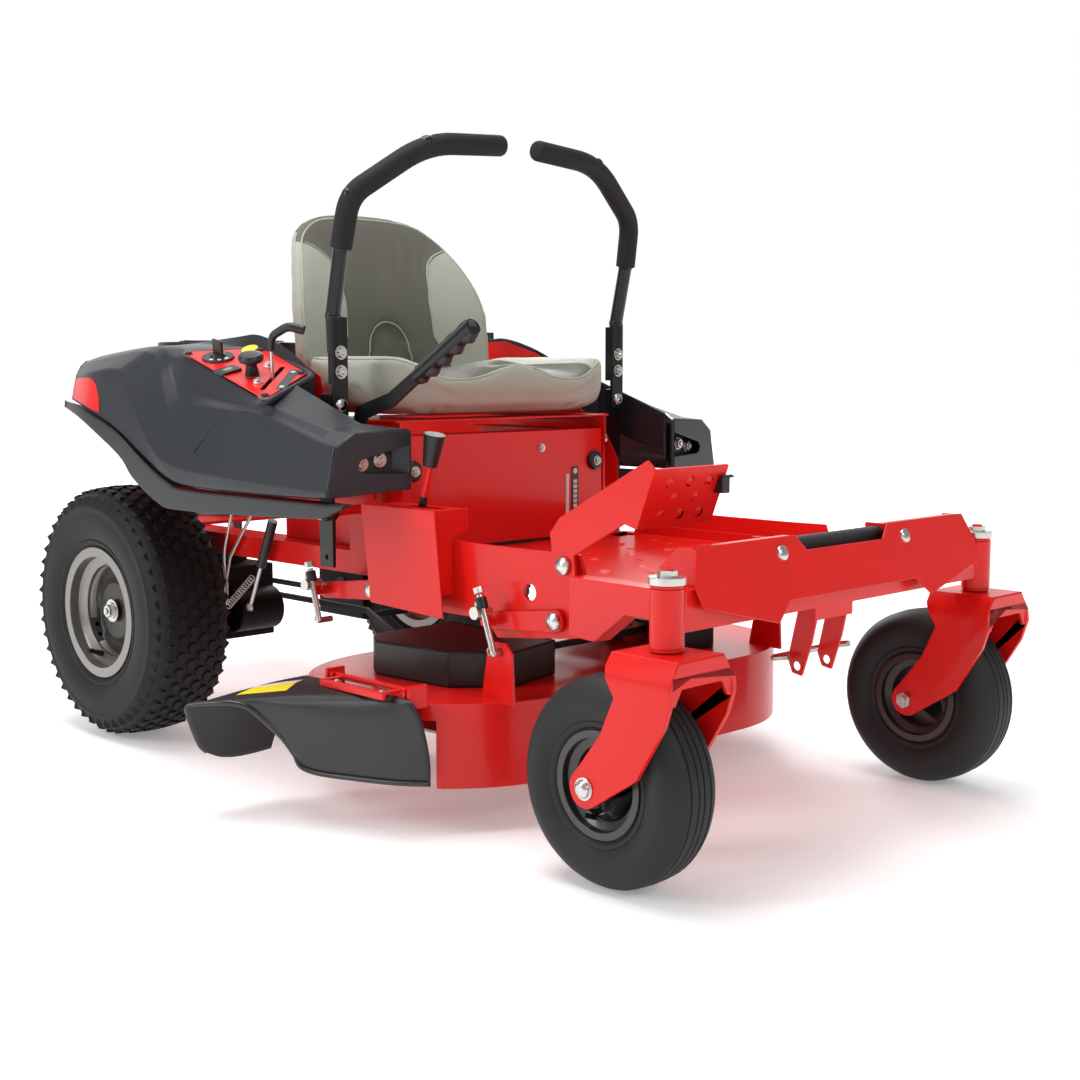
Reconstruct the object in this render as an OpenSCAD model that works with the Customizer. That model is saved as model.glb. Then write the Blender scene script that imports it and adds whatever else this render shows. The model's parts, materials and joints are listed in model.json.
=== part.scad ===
// Zero turn mower. The machine is drawn about its rear axle: x = 0 is the centre plane,
// y = 0 the rear axle line, z = 0 the ground, and the front points to -y. Every node is then
// moved by off_x and off_y, so the origin lies on the ground under the middle of the whole machine.

/* [Layout] */
// Distance from the rear axle to the caster axles when they trail straight
wheelbase = 1205; // [1195:5:1215]
// Distance between the middle planes of the two rear tyres
rear_track = 744; // [740:2:750]
// Distance between the two caster pivots
caster_track = 744; // [740:2:748]
// Distance between the two blade spindles
spindle_span = 430; // [428:1:434]

/* [Wheels] */
// Radius of a rear tyre
rear_r = 229; // [226:1:230]
// Half the width of a rear tyre
rear_half_w = 79; // [76:1:79]
// Radius of a caster tyre
caster_r = 140; // [136:1:142]
// Half the width of a caster tyre
caster_half_w = 50; // [47:1:50]
// Distance from the caster pivot back to the caster axle
trail = 80; // [78:1:82]

/* [Deck] */
// Height of the top of the mower deck
deck_top = 190; // [186:1:192]
// Height of the lower edge of the deck skirt
skirt_z = 66; // [62:1:70]
// Radius of the deck shell round each spindle
shell_r = 235; // [233:1:237]
// Radius swept by a blade
blade_r = 211; // [205:1:212]

/* [Controls] */
// Radius of the steering lever tube
lever_r = 12; // [11:0.5:12.5]
// Radius of the foam grip
grip_r = 17; // [16:0.5:18]
// Radius of the seat plate hinge bolts
hinge_r = 5; // [4.5:0.5:5.5]

/* [Hidden] */
$fn = 48;
off_x = 74;
off_y = 425;
rear_x = rear_track / 2;
caster_x = caster_track / 2;
caster_y = -wheelbase;
pivot_y = caster_y - trail;
spindle_x = spindle_span / 2;
spindle_y = -720;
gap = 0.4;          // air left between two parts that move past each other
run = 0.05;         // radial clearance of a running fit

rail_in = 230;      // inner and outer faces of the frame rails
rail_out = 268;
rail_low = 333;
rail_top = 371;
plate_in = 287;     // inner and outer faces of the front side plates
plate_out = 292;
arm_end = 302;      // outer end of the lift arm pivots
axle_r = 12.5;      // drive axle
spindle_r = 12.7;   // caster spindle
bolt_r = 7.9;       // caster axle bolt
arm_pivot = [-545, 440];      // y and z of the steering arm pivot
swing = [320, 608];           // x and z of the lever swing bolt
brake_pivot = [-560, 505];    // y and z
seat_hinge = [-600, 540];     // y and z
front_arm = [-1017, 316];     // pivot of the front lift arms, y and z
rear_arm = [-611, 319];       // pivot of the rear lift arms
arm_reach = [121, -13];       // from a lift arm pivot to its trunnion
pedal_pivot = [-1040, 396];   // y and z
lock_pivot = [-722, 425];     // y and z
chute_hinge = [-430, 212];    // x and z
lever_path = [[323, -556, 690], [326, -556, 747], [326, -579, 849],
              [320, -595, 929], [193, -630, 1016], [47, -637, 1025]];
crank_y = 215;      // engine crankshaft
belt_z = 222;       // middle of the mower belt
pulley_r = 62;      // spindle pulley at the belt's inner face
crank_pulley_r = 50;
idler_y = -300;
panel_pos = [-350, -372, 667];
panel_turn = [13.6, -14, 0];

// ---- helpers ----
module place() translate([off_x, off_y, 0]) children();
module right_side() mirror([1, 0, 0]) children();
module both_sides() { children(); mirror([1, 0, 0]) children(); }

// round bar from point a to point b
module rod(a, b, r) {
  d = b - a;
  translate(a) rotate([0, acos(d.z / norm(d)), atan2(d.y, d.x)]) cylinder(h = norm(d), r = r);
}
// round bar along x, y or z between two coordinates, through the other two
module bar_x(x0, x1, y, z, r) translate([x0, y, z]) rotate([0, 90, 0]) cylinder(h = x1 - x0, r = r);
module bar_y(x, y0, y1, z, r) translate([x, y1, z]) rotate([90, 0, 0]) cylinder(h = y1 - y0, r = r);
module bar_z(x, y, z0, z1, r) translate([x, y, z0]) cylinder(h = z1 - z0, r = r);
// block between two opposite corners
module block(a, b) translate(a) cube(b - a);
// flat plate whose outline is drawn in y and z, between two values of x
module plate_yz(x0, x1) translate([x0, 0, 0]) rotate([90, 0, 90]) linear_extrude(x1 - x0) children();
// flat plate whose outline is drawn in x and z, between two values of y
module plate_xz(y0, y1) translate([0, y1, 0]) rotate([90, 0, 0]) linear_extrude(y1 - y0) children();
// solid of revolution about an x line, its profile drawn as radius and distance along x
module turned_x(x, y, z) translate([x, y, z]) rotate([0, 90, 0]) rotate_extrude($fn = 96) children();

// rounded square section of a tyre
function blunt(v, p) = sign(v) * pow(abs(v), 2 / p);
function section(mid, half_h, half_w, p = 3, n = 40) =
  [for (i = [0:n - 1]) let(a = 360 * (i + 0.5) / n) [mid + half_h * blunt(cos(a), p), half_w * blunt(sin(a), p)]];

// tyre carcass, open towards the rim, with a step on each side for the rim flange
module tyre_shape(r_out, r_bead, r_flange, half_w, flange_u, wall) {
  r_in = r_bead - 16;
  mid = (r_out + r_in) / 2;
  difference() {
    polygon(section(mid, mid - r_in, half_w));
    polygon(section(mid, mid - r_in - wall, half_w - wall));
    translate([0, -half_w - 1]) square([r_bead, 2 * half_w + 2]);
    for (s = [0, 1]) mirror([0, s]) translate([0, flange_u]) square([r_flange, half_w]);
  }
}
// wheel barrel: two flanges, two bead seats and a drop centre
module barrel(r_flange, r_seat, r_well, u, t) {
  for (s = [0, 1]) mirror([0, s]) polygon([[r_flange, u], [r_seat, u], [r_seat, u * 0.72], [r_well, u * 0.6],
    [r_well, 0], [r_well - t, 0], [r_well - t, u * 0.6 + t], [r_seat - t, u * 0.72 + t],
    [r_seat - t, u + t], [r_flange, u + t]]);
}

// ---- rear wheels ----
rear_flange_u = 66;
module rear_tyre() turned_x(rear_x, 0, rear_r)
  tyre_shape(rear_r, 103.2, 119.5, rear_half_w, rear_flange_u, 13);
module rear_rim() turned_x(rear_x, 0, rear_r) {
  barrel(118, 103, 86, rear_flange_u + gap, 3);
  polygon([[84.5, 26], [62, 26], [50, 33], [20, 33], [20, 27], [47, 27], [59, 20], [84.5, 20]]);
  polygon([[0, 38], [9, 38], [9, 33], [22, 33], [22, -50], [axle_r, -50], [axle_r, 104 - rear_x], [0, 104 - rear_x]]);
}
module tyre_right() color("dimgray") place() right_side() rear_tyre();
module rim_right() color("gray") place() right_side() rear_rim();
module tyre_left() color("dimgray") place() rear_tyre();
module rim_left() color("gray") place() rear_rim();

// ---- casters ----
fork_top = 317.5;
fork_in = 56;       // inner and outer faces of the fork legs
fork_out = 64;
module fork_outline() {
  polygon([[pivot_y - 56, fork_top + 1], [pivot_y + 53, fork_top + 1], [pivot_y + 53, 300], [pivot_y + 31, 264],
    [pivot_y + 54, 214], [caster_y + 24, 150], [caster_y - 12, caster_r - 23], [pivot_y - 7, 166],
    [pivot_y - 51, 238], [pivot_y - 61, 270]]);
  translate([caster_y, caster_r]) circle(r = 26);
}
module fork() {
  difference() {
    intersection() {
      translate([caster_x, 0, 0]) plate_xz(pivot_y - 62, caster_y + 30) polygon([
        [-fork_out, 90], [-fork_out, 288], [-44, fork_top], [44, fork_top], [fork_out, 288], [fork_out, 90],
        [fork_in, 90], [fork_in, 284], [39, 309], [-39, 309], [-fork_in, 284], [-fork_in, 90]]);
      plate_yz(caster_x - fork_out - 1, caster_x + fork_out + 1) fork_outline();
    }
    bar_x(caster_x - 70, caster_x + 70, caster_y, caster_r, bolt_r + 0.1);
  }
  // web across the front of the fork
  translate([caster_x, 0, 0]) plate_xz(pivot_y - 58, pivot_y - 52) polygon([[-fork_out + 1, 287], [-43, 316], [43, 316],
    [fork_out - 1, 287], [fork_out - 1, 264], [50, 264], [38, 284], [-38, 284], [-50, 264], [-fork_out + 1, 264]]);
  bar_z(caster_x, pivot_y, 312, 402.5, spindle_r);
  bar_z(caster_x, pivot_y, 402, 423, 7.9);
}
module hex_nut(r, hole, h) difference() {
  cylinder(h = h, r = r, $fn = 6);
  translate([0, 0, -1]) cylinder(h = h + 2, r = hole);
}
module caster_pins() {
  // spindle cap and nut
  difference() {
    bar_z(caster_x, pivot_y, 402.6, 412, 24);
    bar_z(caster_x, pivot_y, 402, 413, 8);
  }
  translate([caster_x, pivot_y, 412]) hex_nut(13, 8, 8);
  // axle bolt with a domed head outside and a nut inside
  bar_x(caster_x - 80, caster_x + fork_out + 1, caster_y, caster_r, bolt_r);
  translate([caster_x + fork_out, caster_y, caster_r]) rotate([0, 90, 0]) rotate_extrude()
    polygon([[0, 0], [15, 0], [15, 2], [12, 2], [11, 6], [7, 9], [0, 10]]);
  translate([caster_x - fork_out - 10, caster_y, caster_r]) rotate([0, 90, 0]) hex_nut(13, bolt_r, 10);
}
caster_flange_u = 38;
module caster_tyre() turned_x(caster_x, caster_y, caster_r)
  tyre_shape(caster_r, 63.7, 73, caster_half_w, caster_flange_u, 10);
module caster_rim() turned_x(caster_x, caster_y, caster_r) {
  barrel(71.5, 63.5, 52, caster_flange_u + gap, 2.5);
  polygon([[50.5, 4], [20, 4], [20, -4], [50.5, -4]]);
  polygon([[bolt_r + run, 55.4], [20, 55.4], [20, -55.4], [bolt_r + run, -55.4]]);
}
module fork_right() color("red") place() right_side() fork();
module caster_pins_right() color("silver") place() right_side() caster_pins();
module caster_tyre_right() color("dimgray") place() right_side() caster_tyre();
module caster_rim_right() color("gray") place() right_side() caster_rim();
module fork_left() color("red") place() fork();
module caster_pins_left() color("silver") place() caster_pins();
module caster_tyre_left() color("dimgray") place() caster_tyre();
module caster_rim_left() color("gray") place() caster_rim();

// ---- frame ----
// rear rail, front side plate, the post for the steering arm and the pivot stubs of one side
module frame_side() {
  difference() {
    block([rail_in, -640, rail_low], [rail_out, 400, rail_top]);
    block([rail_in + 3, -650, rail_low + 3], [rail_out - 3, 410, rail_top - 3]);
  }
  block([rail_out - 1, -655, rail_low + 2], [plate_out, -625, rail_top - 2]);
  difference() {
    plate_yz(plate_in, plate_out) polygon([[-640, 300], [-640, 404], [-750, 411], [-985, 411], [-1058, 412],
      [-1068, 385], [-1066, 300], [-1050, 294], [-892, 276], [-870, 300], [-700, 300]]);
    bar_x(plate_in - 1, plate_out + 1, -960, 350, 12);
  }
  plate_yz(rail_out - 6, rail_out) polygon([[-585, rail_top - 4], [-585, 525], [-535, 525], [-515, 460], [-515, rail_top - 4]]);
  bar_x(rail_out - 1, 345, arm_pivot[0], arm_pivot[1], 8);
  bar_x(plate_in + 1, arm_end, front_arm[0], front_arm[1], 8);
  bar_x(rail_out - 1, arm_end, rear_arm[0], rear_arm[1], 8);
  block([rail_in + 8, rear_arm[0] - 20, rear_arm[1] - 18], [rail_out, rear_arm[0] + 20, rail_low + 1]);
}
module frame_rail_right() color("red") place() {
  right_side() frame_side();
  bar_x(-304, 1 - rail_out, brake_pivot[0], brake_pivot[1], 8);
  bar_x(-arm_end - 4, -plate_in - 1, pedal_pivot[0], pedal_pivot[1], 8);
}
module frame_rail_left() color("red") place() frame_side();

hitch_y = 455;
module rear_frame() color("red") place() difference() {
  union() {
    // rear cross tube, engine plate and battery tray
    difference() {
      block([-rail_out, 400, rail_low], [rail_out, 438, rail_top]);
      block([-rail_out - 1, 403, rail_low + 3], [rail_out + 1, 435, rail_top - 3]);
    }
    block([-rail_in, 60, rail_top - 8], [rail_in, 401, rail_top - 2]);
    block([-rail_in, -592, rail_low + 7], [rail_in, -330, rail_low + 10]);
    for (x = [-180, 180]) block([x - 20, -340, rail_low + 7], [x + 20, 70, rail_top - 8]);
    // hitch tongue
    block([-60, 430, rail_low - 6], [60, 468, rail_low]);
    translate([0, 468, rail_low - 6]) cylinder(h = 6, r = 28);
  }
  bar_z(0, hitch_y, rail_low - 20, rail_low + 1, 9.6);
  bar_z(0, crank_y, rail_low, rail_top + 5, 45);
  for (x = [-45, 45]) bar_z(x, hitch_y - 9, rail_low - 20, rail_low + 1, 5.5);
}

// front axle beam, caster tubes with their flanged bushes, the side arms and the centre lugs
tube_low = 323;
tube_top = 398;
beam_top = 392;
bush_r = 17.5;
module bush() rotate_extrude() polygon([[spindle_r + run, -4.3], [21, -4.3], [21, -run], [bush_r - run, -run],
  [bush_r - run, 24], [spindle_r + run, 24]]);
module front_beam() color("red") place() {
  difference() {
    union() {
      difference() {
        block([-caster_x, pivot_y - 11, 340], [caster_x, pivot_y + 26, beam_top]);
        block([-caster_x - 1, pivot_y - 7, 344], [caster_x + 1, pivot_y + 22, beam_top - 4]);
      }
      both_sides() {
        bar_z(caster_x, pivot_y, tube_low, tube_top, 22);
        translate([plate_out + 30, -1067, 0]) rotate([0, 0, -81]) rotate([90, 0, 0]) linear_extrude(29)
          polygon([[0, 304], [0, 386], [205, beam_top - 1], [205, 350], [120, 348], [55, 304]]);
      }
      for (x = [-63, 8]) difference() {
        plate_yz(x, x + 5) polygon([[pivot_y - 9, 341], [pivot_y + 24, 341], [pivot_y + 42, 262],
          [pivot_y + 34, 243], [pivot_y + 18, 240], [pivot_y + 2, 290]]);
        bar_x(x - 1, x + 6, pivot_y + 27, 253, 6.5);
      }
      block([-70, pivot_y - 9, 322], [20, pivot_y - 4, 341]);
    }
    both_sides() bar_z(caster_x, pivot_y, tube_low - 1, tube_top + 1, bush_r);
  }
  both_sides() {
    translate([caster_x, pivot_y, tube_low]) bush();
    translate([caster_x, pivot_y, tube_top]) mirror([0, 0, 1]) bush();
  }
}

guard_tilt = 17;
foot_half = 134;    // half the length of the foot bar
module guard_frame() translate([0, pivot_y, 443]) rotate([-guard_tilt, 0, 0]) children();
module front_guard() color("red") place() {
  guard_frame() plate_xz(-3, 0) difference() {
    polygon([[-319, 0], [-112, 0], [-92, -22], [92, -22], [112, 0], [319, 0], [340, -45], [331, -77],
      [186, -113], [154, -86], [-154, -86], [-186, -113], [-331, -77], [-340, -45]]);
    for (s = [-1, 1]) translate([149 * s, -22]) circle(r = 5.3);
  }
  both_sides() {
    block([112, pivot_y - 2, 439.5], [319, pivot_y + 17, 442.5]);
    plate_yz(316, 319) polygon([[pivot_y - 2, 442.5], [pivot_y + 29, 442.5], [pivot_y + 60, 413],
      [pivot_y + 60, beam_top + 0.2], [pivot_y - 17, beam_top + 0.2]]);
    // tab that carries the guard on the beam and the foot bar between them
    difference() {
      plate_yz(foot_half + 0.3, foot_half + 4) polygon([[pivot_y + 14, 440], [pivot_y + 50, 440], [pivot_y + 50, beam_top + 0.2],
        [pivot_y - 13, beam_top + 0.2], [pivot_y - 4, 425]]);
      bar_x(foot_half, foot_half + 5, pivot_y + 30, 421, 8);
    }
  }
}
module foot_bar() color("black") place() {
  bar_x(-foot_half, foot_half, pivot_y + 30, 421, 15);
  bar_x(-foot_half - 8, foot_half + 8, pivot_y + 30, 421, 7.9);
}

module floor_pan() color("red") place() {
  difference() {
    union() {
      block([-286, -1240, 362], [286, -656, 366]);
      block([-229.6, -657, 362], [229.6, -609, 366]);
    }
    for (x = [-200:100:200], y = [-1130:110:-800]) bar_z(x, y, 361, 367, 7);
  }
  both_sides() block([283, -1240, 365], [286, -656, 384]);
  for (x = [-230:92:230], y = [-1180:110:-740]) translate([x, y, 366]) cylinder(h = 2.5, r1 = 11, r2 = 7);
}

module seat_box() color("red") place() {
  difference() {
    block([-233, -608, rail_top], [233, -290, 558]);
    block([-230.5, -605.5, rail_top - 1], [230.5, -280, 555]);
    block([-190, -560, 550], [190, -280, 560]);
    // sight slot for the height gauge
    block([141, -610, 390], [149, -600, 480]);
  }
}

module lock_bracket() color("red") place() {
  plate_yz(-330, -327) polygon([[-624, 458], [-797, 458], [-815, 299], [-800, 299], [-645, 306]]);
  plate_xz(-797, -794) polygon([[-330, 458], [-262, 458], [-262, 425], [-plate_out - gap, 415], [-plate_out - gap, 330], [-330, 330]]);
  difference() {
    block([-330, -797, 455], [-270, -640, 458]);
    block([-306, -785, 450], [-288, -700, 460]);
  }
  block([-330, -643, 330], [-plate_out - 0.2, -640, 456]);
  bar_x(-328, -plate_out - 0.2, lock_pivot[0], lock_pivot[1], 5);
}

// ---- pods ----
module pod_body() intersection() {
  plate_yz(280, 460) polygon([[106, 672], [104, 694], [-115, 706], [-300, 724], [-354, 705], [-474, 657],
    [-528, 602], [-663, 582], [-711, 572], [-726, 475], [-520, 474], [-330, 480], [-150, 545], [-10, 600], [99, 609]]);
  translate([0, 0, 460]) linear_extrude(280) polygon([[290, 106], [398, 106], [424, 60], [446, -100], [452, -480],
    [440, -690], [424, -726], [302, -726], [302, -668], [350, -660], [350, -480], [296, -470], [290, -300]]);
  plate_xz(-740, 120) polygon([[280, 730], [340, 722], [418, 690], [440, 640], [453, 560], [453, 470], [280, 470]]);
}
pod_mid = [370, -310, 468];
module pod_shell() difference() {
  pod_body();
  translate(pod_mid) scale(0.955) translate(-pod_mid) pod_body();
  block([300, -705, 460], [420, -500, 540]);
}
module panel_cut() translate(panel_pos) rotate(panel_turn) translate([-150, -170, 0]) cube([300, 345, 80]);
module pod_right() color([0.22, 0.22, 0.24]) place() difference() {
  right_side() pod_shell();
  panel_cut();
  // opening for the controls under the panel
  translate(panel_pos) rotate(panel_turn) translate([0, 0, -50]) linear_extrude(60)
    polygon([for (p = panel_outline) p * 0.84]);
}
module pod_left() color([0.22, 0.22, 0.24]) place() difference() {
  pod_shell();
  bar_z(350, -150, 600, 760, 24);
}
module flare() difference() {
  plate_yz(404, 456) polygon([[99, 608.6], [-10, 599.6], [-150, 544.6], [-330, 479.6], [-520, 473.6], [-726, 474.6],
    [-736, 464], [-694, 438], [-309, 440], [-230, 464], [-117, 525], [7, 590], [90, 594]]);
  plate_yz(400, 450) polygon([[110, 600], [20, 588], [-117, 538], [-230, 482], [-309, 458], [-694, 455],
    [-750, 455], [-750, 400], [110, 400]]);
  // narrows with the pod towards the rear
  translate([0, 0, 400]) linear_extrude(260) polygon([[424, 130], [424, 100], [448, -20], [456.5, -110], [470, -110],
    [470, 130]]);
}
module flare_right() color([0.16, 0.16, 0.17]) place() right_side() flare();
module flare_left() color([0.16, 0.16, 0.17]) place() flare();

panel_outline = [[-39, 140], [-80, -138], [38, -93], [66, 60]];
module on_panel() place() translate(panel_pos) rotate(panel_turn) children();
key_at = [-16, 72];
pto_at = [-27, -34];
slot_at = [-15, -71];
slot_turn = -56;
module control_panel() color("red") on_panel() difference() {
  translate([0, 0, 0.2]) linear_extrude(3) polygon(panel_outline);
  translate([key_at[0], key_at[1], -1]) cylinder(h = 6, r = 9);
  translate([pto_at[0], pto_at[1], -1]) cylinder(h = 6, r = 7);
  translate([slot_at[0], slot_at[1], 0]) rotate([0, 0, slot_turn]) translate([-4, -54, -1]) cube([8, 108, 6]);
}
module ignition_key() color("black") on_panel() translate([key_at[0], key_at[1], 0]) {
  translate([0, 0, -9]) cylinder(h = 17, r = 8);
  translate([-2.5, -12, 8]) cube([5, 24, 26]);
}
module pto_knob() color("black") on_panel() translate([pto_at[0], pto_at[1], 0]) {
  translate([0, 0, -14]) cylinder(h = 30, r = 6);
  translate([0, 0, 14]) rotate_extrude() polygon([[0, 0], [9, 0], [9, 8], [19, 12], [21, 18], [18, 24], [0, 26]]);
}
// throttle lever: a bent rod in the slot with a moulded tip
throttle_axis = -26;
module throttle_lever() color("black") on_panel() translate([slot_at[0], slot_at[1], 0]) rotate([0, 0, slot_turn]) {
  translate([0, 0, throttle_axis]) rotate([0, 90, 0]) translate([0, 0, -3]) cylinder(h = 6, r = 8);
  rod([0, 0, throttle_axis], [0, 4, 52], 2.6);
  rod([0, 4, 50], [4, 4, 70], 6);
  rod([2, 4, 66], [32, 2, 90], 6.6);
  rod([30, 2, 89], [54, 0, 86], 7.2);
}

// ---- engine, tank, battery and transaxles ----
module engine_block() color("dimgray") place() {
  bar_z(0, crank_y, rail_top - 2, rail_top + 70, 118);
  block([-95, 130, rail_top + 20], [95, 300, 560]);
  bar_x(-130, -90, 220, 500, 48);
  bar_x(90, 130, 220, 500, 48);
  bar_z(0, crank_y, 250, rail_top, 12.4);
}
module engine_shroud() color("black") place() difference() {
  bar_z(0, crank_y, 560.2, 716, 148);
  bar_z(0, crank_y, 560, 706, 142);
  for (x = [-112:16:112]) block([x - 4, crank_y - sqrt(14400 - x * x), 700], [x + 4, crank_y + sqrt(14400 - x * x), 720]);
}
module crank_pulley() color("silver") place() difference() {
  union() {
    bar_z(0, crank_y, belt_z - 12, belt_z + 8, crank_pulley_r - gap);
    bar_z(0, crank_y, belt_z - 14, belt_z - 9, crank_pulley_r + 8);
    bar_z(0, crank_y, belt_z + 8, 318, 20);
  }
  bar_z(0, crank_y, 248, 330, 12.4 + run);
}
module fuel_tank() color("black") place() {
  block([304, -240, 560], [396, 40, 664]);
  bar_z(350, -150, 660, 708, 20);
}
module fuel_cap() color("black") place() difference() {
  union() {
    bar_z(350, -150, 716, 736, 31);
    for (a = [0:30:330]) translate([350, -150, 716]) rotate([0, 0, a]) translate([31, 0, 0]) cylinder(h = 20, r = 3, $fn = 16);
    bar_z(350, -150, 700, 717, 23.5);
  }
  bar_z(350, -150, 699, 710, 20 + run);
}
module battery() color("black") place() {
  block([-98, -570, rail_low + 10.2], [98, -450, 530]);
  for (x = [-78, 78]) bar_z(x, -552, 529, 546, 8);
}
module transaxle() difference() {
  union() {
    block([108, -70, 160], [226, 78, 296]);
    bar_x(220, 262, 0, rear_r, 34);
    bar_z(165, 8, 290, 322, 42);
    block([200, -50, 290], [229.8, 60, rail_low - 0.2]);
    block([229, -50, 300], [266, 60, rail_low - 0.2]);
    bar_x(120, 214, -82, 215, 40);
  }
  bar_x(100, 270, 0, rear_r, axle_r + run);
}
module transaxle_right() color("dimgray") place() right_side() transaxle();
module transaxle_left() color("dimgray") place() transaxle();

// ---- fasteners on the frame ----
module domed_head() rotate_extrude() polygon([[0, 0], [13, 0], [12, 4], [6, 7], [0, 8]]);
module frame_bolts() color("silver") place() {
  both_sides() {
    bar_x(345, 350, arm_pivot[0], arm_pivot[1], 12);
    for (p = [front_arm, rear_arm]) translate([arm_end, p[0], p[1]]) rotate([0, 90, 0]) domed_head();
    guard_frame() translate([149, -3, -22]) rotate([90, 0, 0]) rotate_extrude()
      polygon([[0, -12], [5.2, -12], [5.2, 0], [11, 0], [10, 3], [6, 5], [0, 6]]);
    // seat hinge bolts
    bar_x(233, 243, seat_hinge[0], seat_hinge[1], hinge_r);
    bar_x(243, 248, seat_hinge[0], seat_hinge[1], 9);
  }
  translate([-arm_end - 4, pedal_pivot[0], pedal_pivot[1]]) rotate([0, -90, 0]) domed_head();
  bar_x(-308, -304, brake_pivot[0], brake_pivot[1], 12);
}

// ---- steering levers ----
// lower arm: a flat bar on the frame pivot with an ear for the swing bolt
module control_arm() difference() {
  union() {
    plate_yz(330, 336) polygon([[-559.9, 352], [-559.9, 626], [-533, 626], [-526, 470], [-526, 352]]);
    block([304, -560, 580], [336, -552, 626]);
    bar_x(322, 344, arm_pivot[0], arm_pivot[1], 15);
  }
  bar_x(300, 350, arm_pivot[0], arm_pivot[1], 8 + run);
  bar_y(swing[0], -570, -540, swing[1], hinge_r + run);
  bar_x(325, 345, -544, 368, 4.2);
}
// bent tube: straight lengths with a slightly fuller elbow at each bend
module lever_tube(points, r) {
  for (i = [0:len(points) - 2]) rod(points[i], points[i + 1], r);
  for (i = [1:len(points) - 2]) translate(points[i]) sphere(r = r + 0.8);
}
module lever() {
  difference() {
    union() {
      block([306, -567, 590], [334, -560.4, 745]);
      block([306, -567, 642], [309, -548, 740]);
      block([308, -561, 642], [333, -551, 720]);
      lever_tube(lever_path, lever_r);
    }
    for (z = [660, 690]) bar_y(swing[0], -580, -530, z, 4.2);
  }
  bar_y(swing[0], -566, -544, swing[1], hinge_r);
  translate([swing[0], -567, swing[1]]) rotate([90, 0, 0]) rotate_extrude() polygon([[0, -1], [10, -1], [10, 1], [8, 4], [0, 6]]);
  bar_y(swing[0], -551, -544, swing[1], 9);
  for (z = [660, 690]) {
    bar_y(swing[0], -574, -540, z, 4.1);
    translate([swing[0], -567, z]) rotate([90, 0, 0]) cylinder(h = 6, r = 8, $fn = 6);
  }
}
grip_path = [for (i = [2:5]) lever_path[i]];
grip_end = lever_path[5] + 8 * (lever_path[5] - lever_path[4]) / norm(lever_path[5] - lever_path[4]);
module grip() difference() {
  lever_tube([grip_path[0], grip_path[1], grip_path[2], grip_end], grip_r);
  lever_tube([for (i = [1:5]) lever_path[i]], lever_r);
}
module control_arm_right() color("black") place() right_side() control_arm();
module lever_right() color("black") place() right_side() lever();
module grip_right() color("dimgray") place() right_side() grip();
module control_arm_left() color("black") place() control_arm();
module lever_left() color("black") place() lever();
module grip_left() color("dimgray") place() grip();

module brake_lever() color("black") place() {
  difference() {
    plate_yz(-296, -290) polygon([[-545, 488], [-575, 488], [-597, 588], [-660, 606], [-742, 656], [-730, 672], [-652, 628],
      [-572, 606], [-543, 520]]);
    bar_x(-300, -285, brake_pivot[0], brake_pivot[1], 8 + run);
  }
  difference() {
    rod([-293, -722, 653], [-293, -845, 727], 13);
    plate_yz(-296.1, -289.9) polygon([[-700, 631], [-745, 658], [-733, 674], [-690, 651]]);
  }
}

// ---- seat ----
module seat_plate() color("red") place() {
  difference() {
    block([-247, -612, 580], [247, -300, 583]);
    block([-120, -540, 579], [120, -380, 584]);
  }
  both_sides() difference() {
    plate_yz(236.5, 240) polygon([[-612, 581], [-612, 532], [-590, 526], [-560, 570], [-300, 570], [-300, 581]]);
    bar_x(236, 241, seat_hinge[0], seat_hinge[1], hinge_r + run);
  }
}
// upholstered seat: a cushion with rounded ends and a back that leans
module seat() color([0.62, 0.63, 0.58]) place() {
  hull() for (s = [-1, 1]) {
    translate([s * 215, -598, 630]) sphere(r = 36, $fn = 24);
    translate([s * 238, -520, 638]) sphere(r = 40, $fn = 24);
    translate([s * 200, -350, 625]) sphere(r = 40, $fn = 24);
    translate([s * 190, -620, 622]) cylinder(h = 40, r = 20, center = true, $fn = 24);
  }
  hull() for (s = [-1, 1]) {
    translate([s * 170, -300, 640]) sphere(r = 36, $fn = 24);
    translate([s * 188, -279, 690]) sphere(r = 36, $fn = 24);
    translate([s * 184, -268, 775]) sphere(r = 36, $fn = 24);
    translate([s * 172, -256, 825]) sphere(r = 36, $fn = 24);
    translate([s * 138, -226, 885]) sphere(r = 36, $fn = 24);
    translate([s * 84, -212, 908]) sphere(r = 36, $fn = 24);
  }
}

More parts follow.
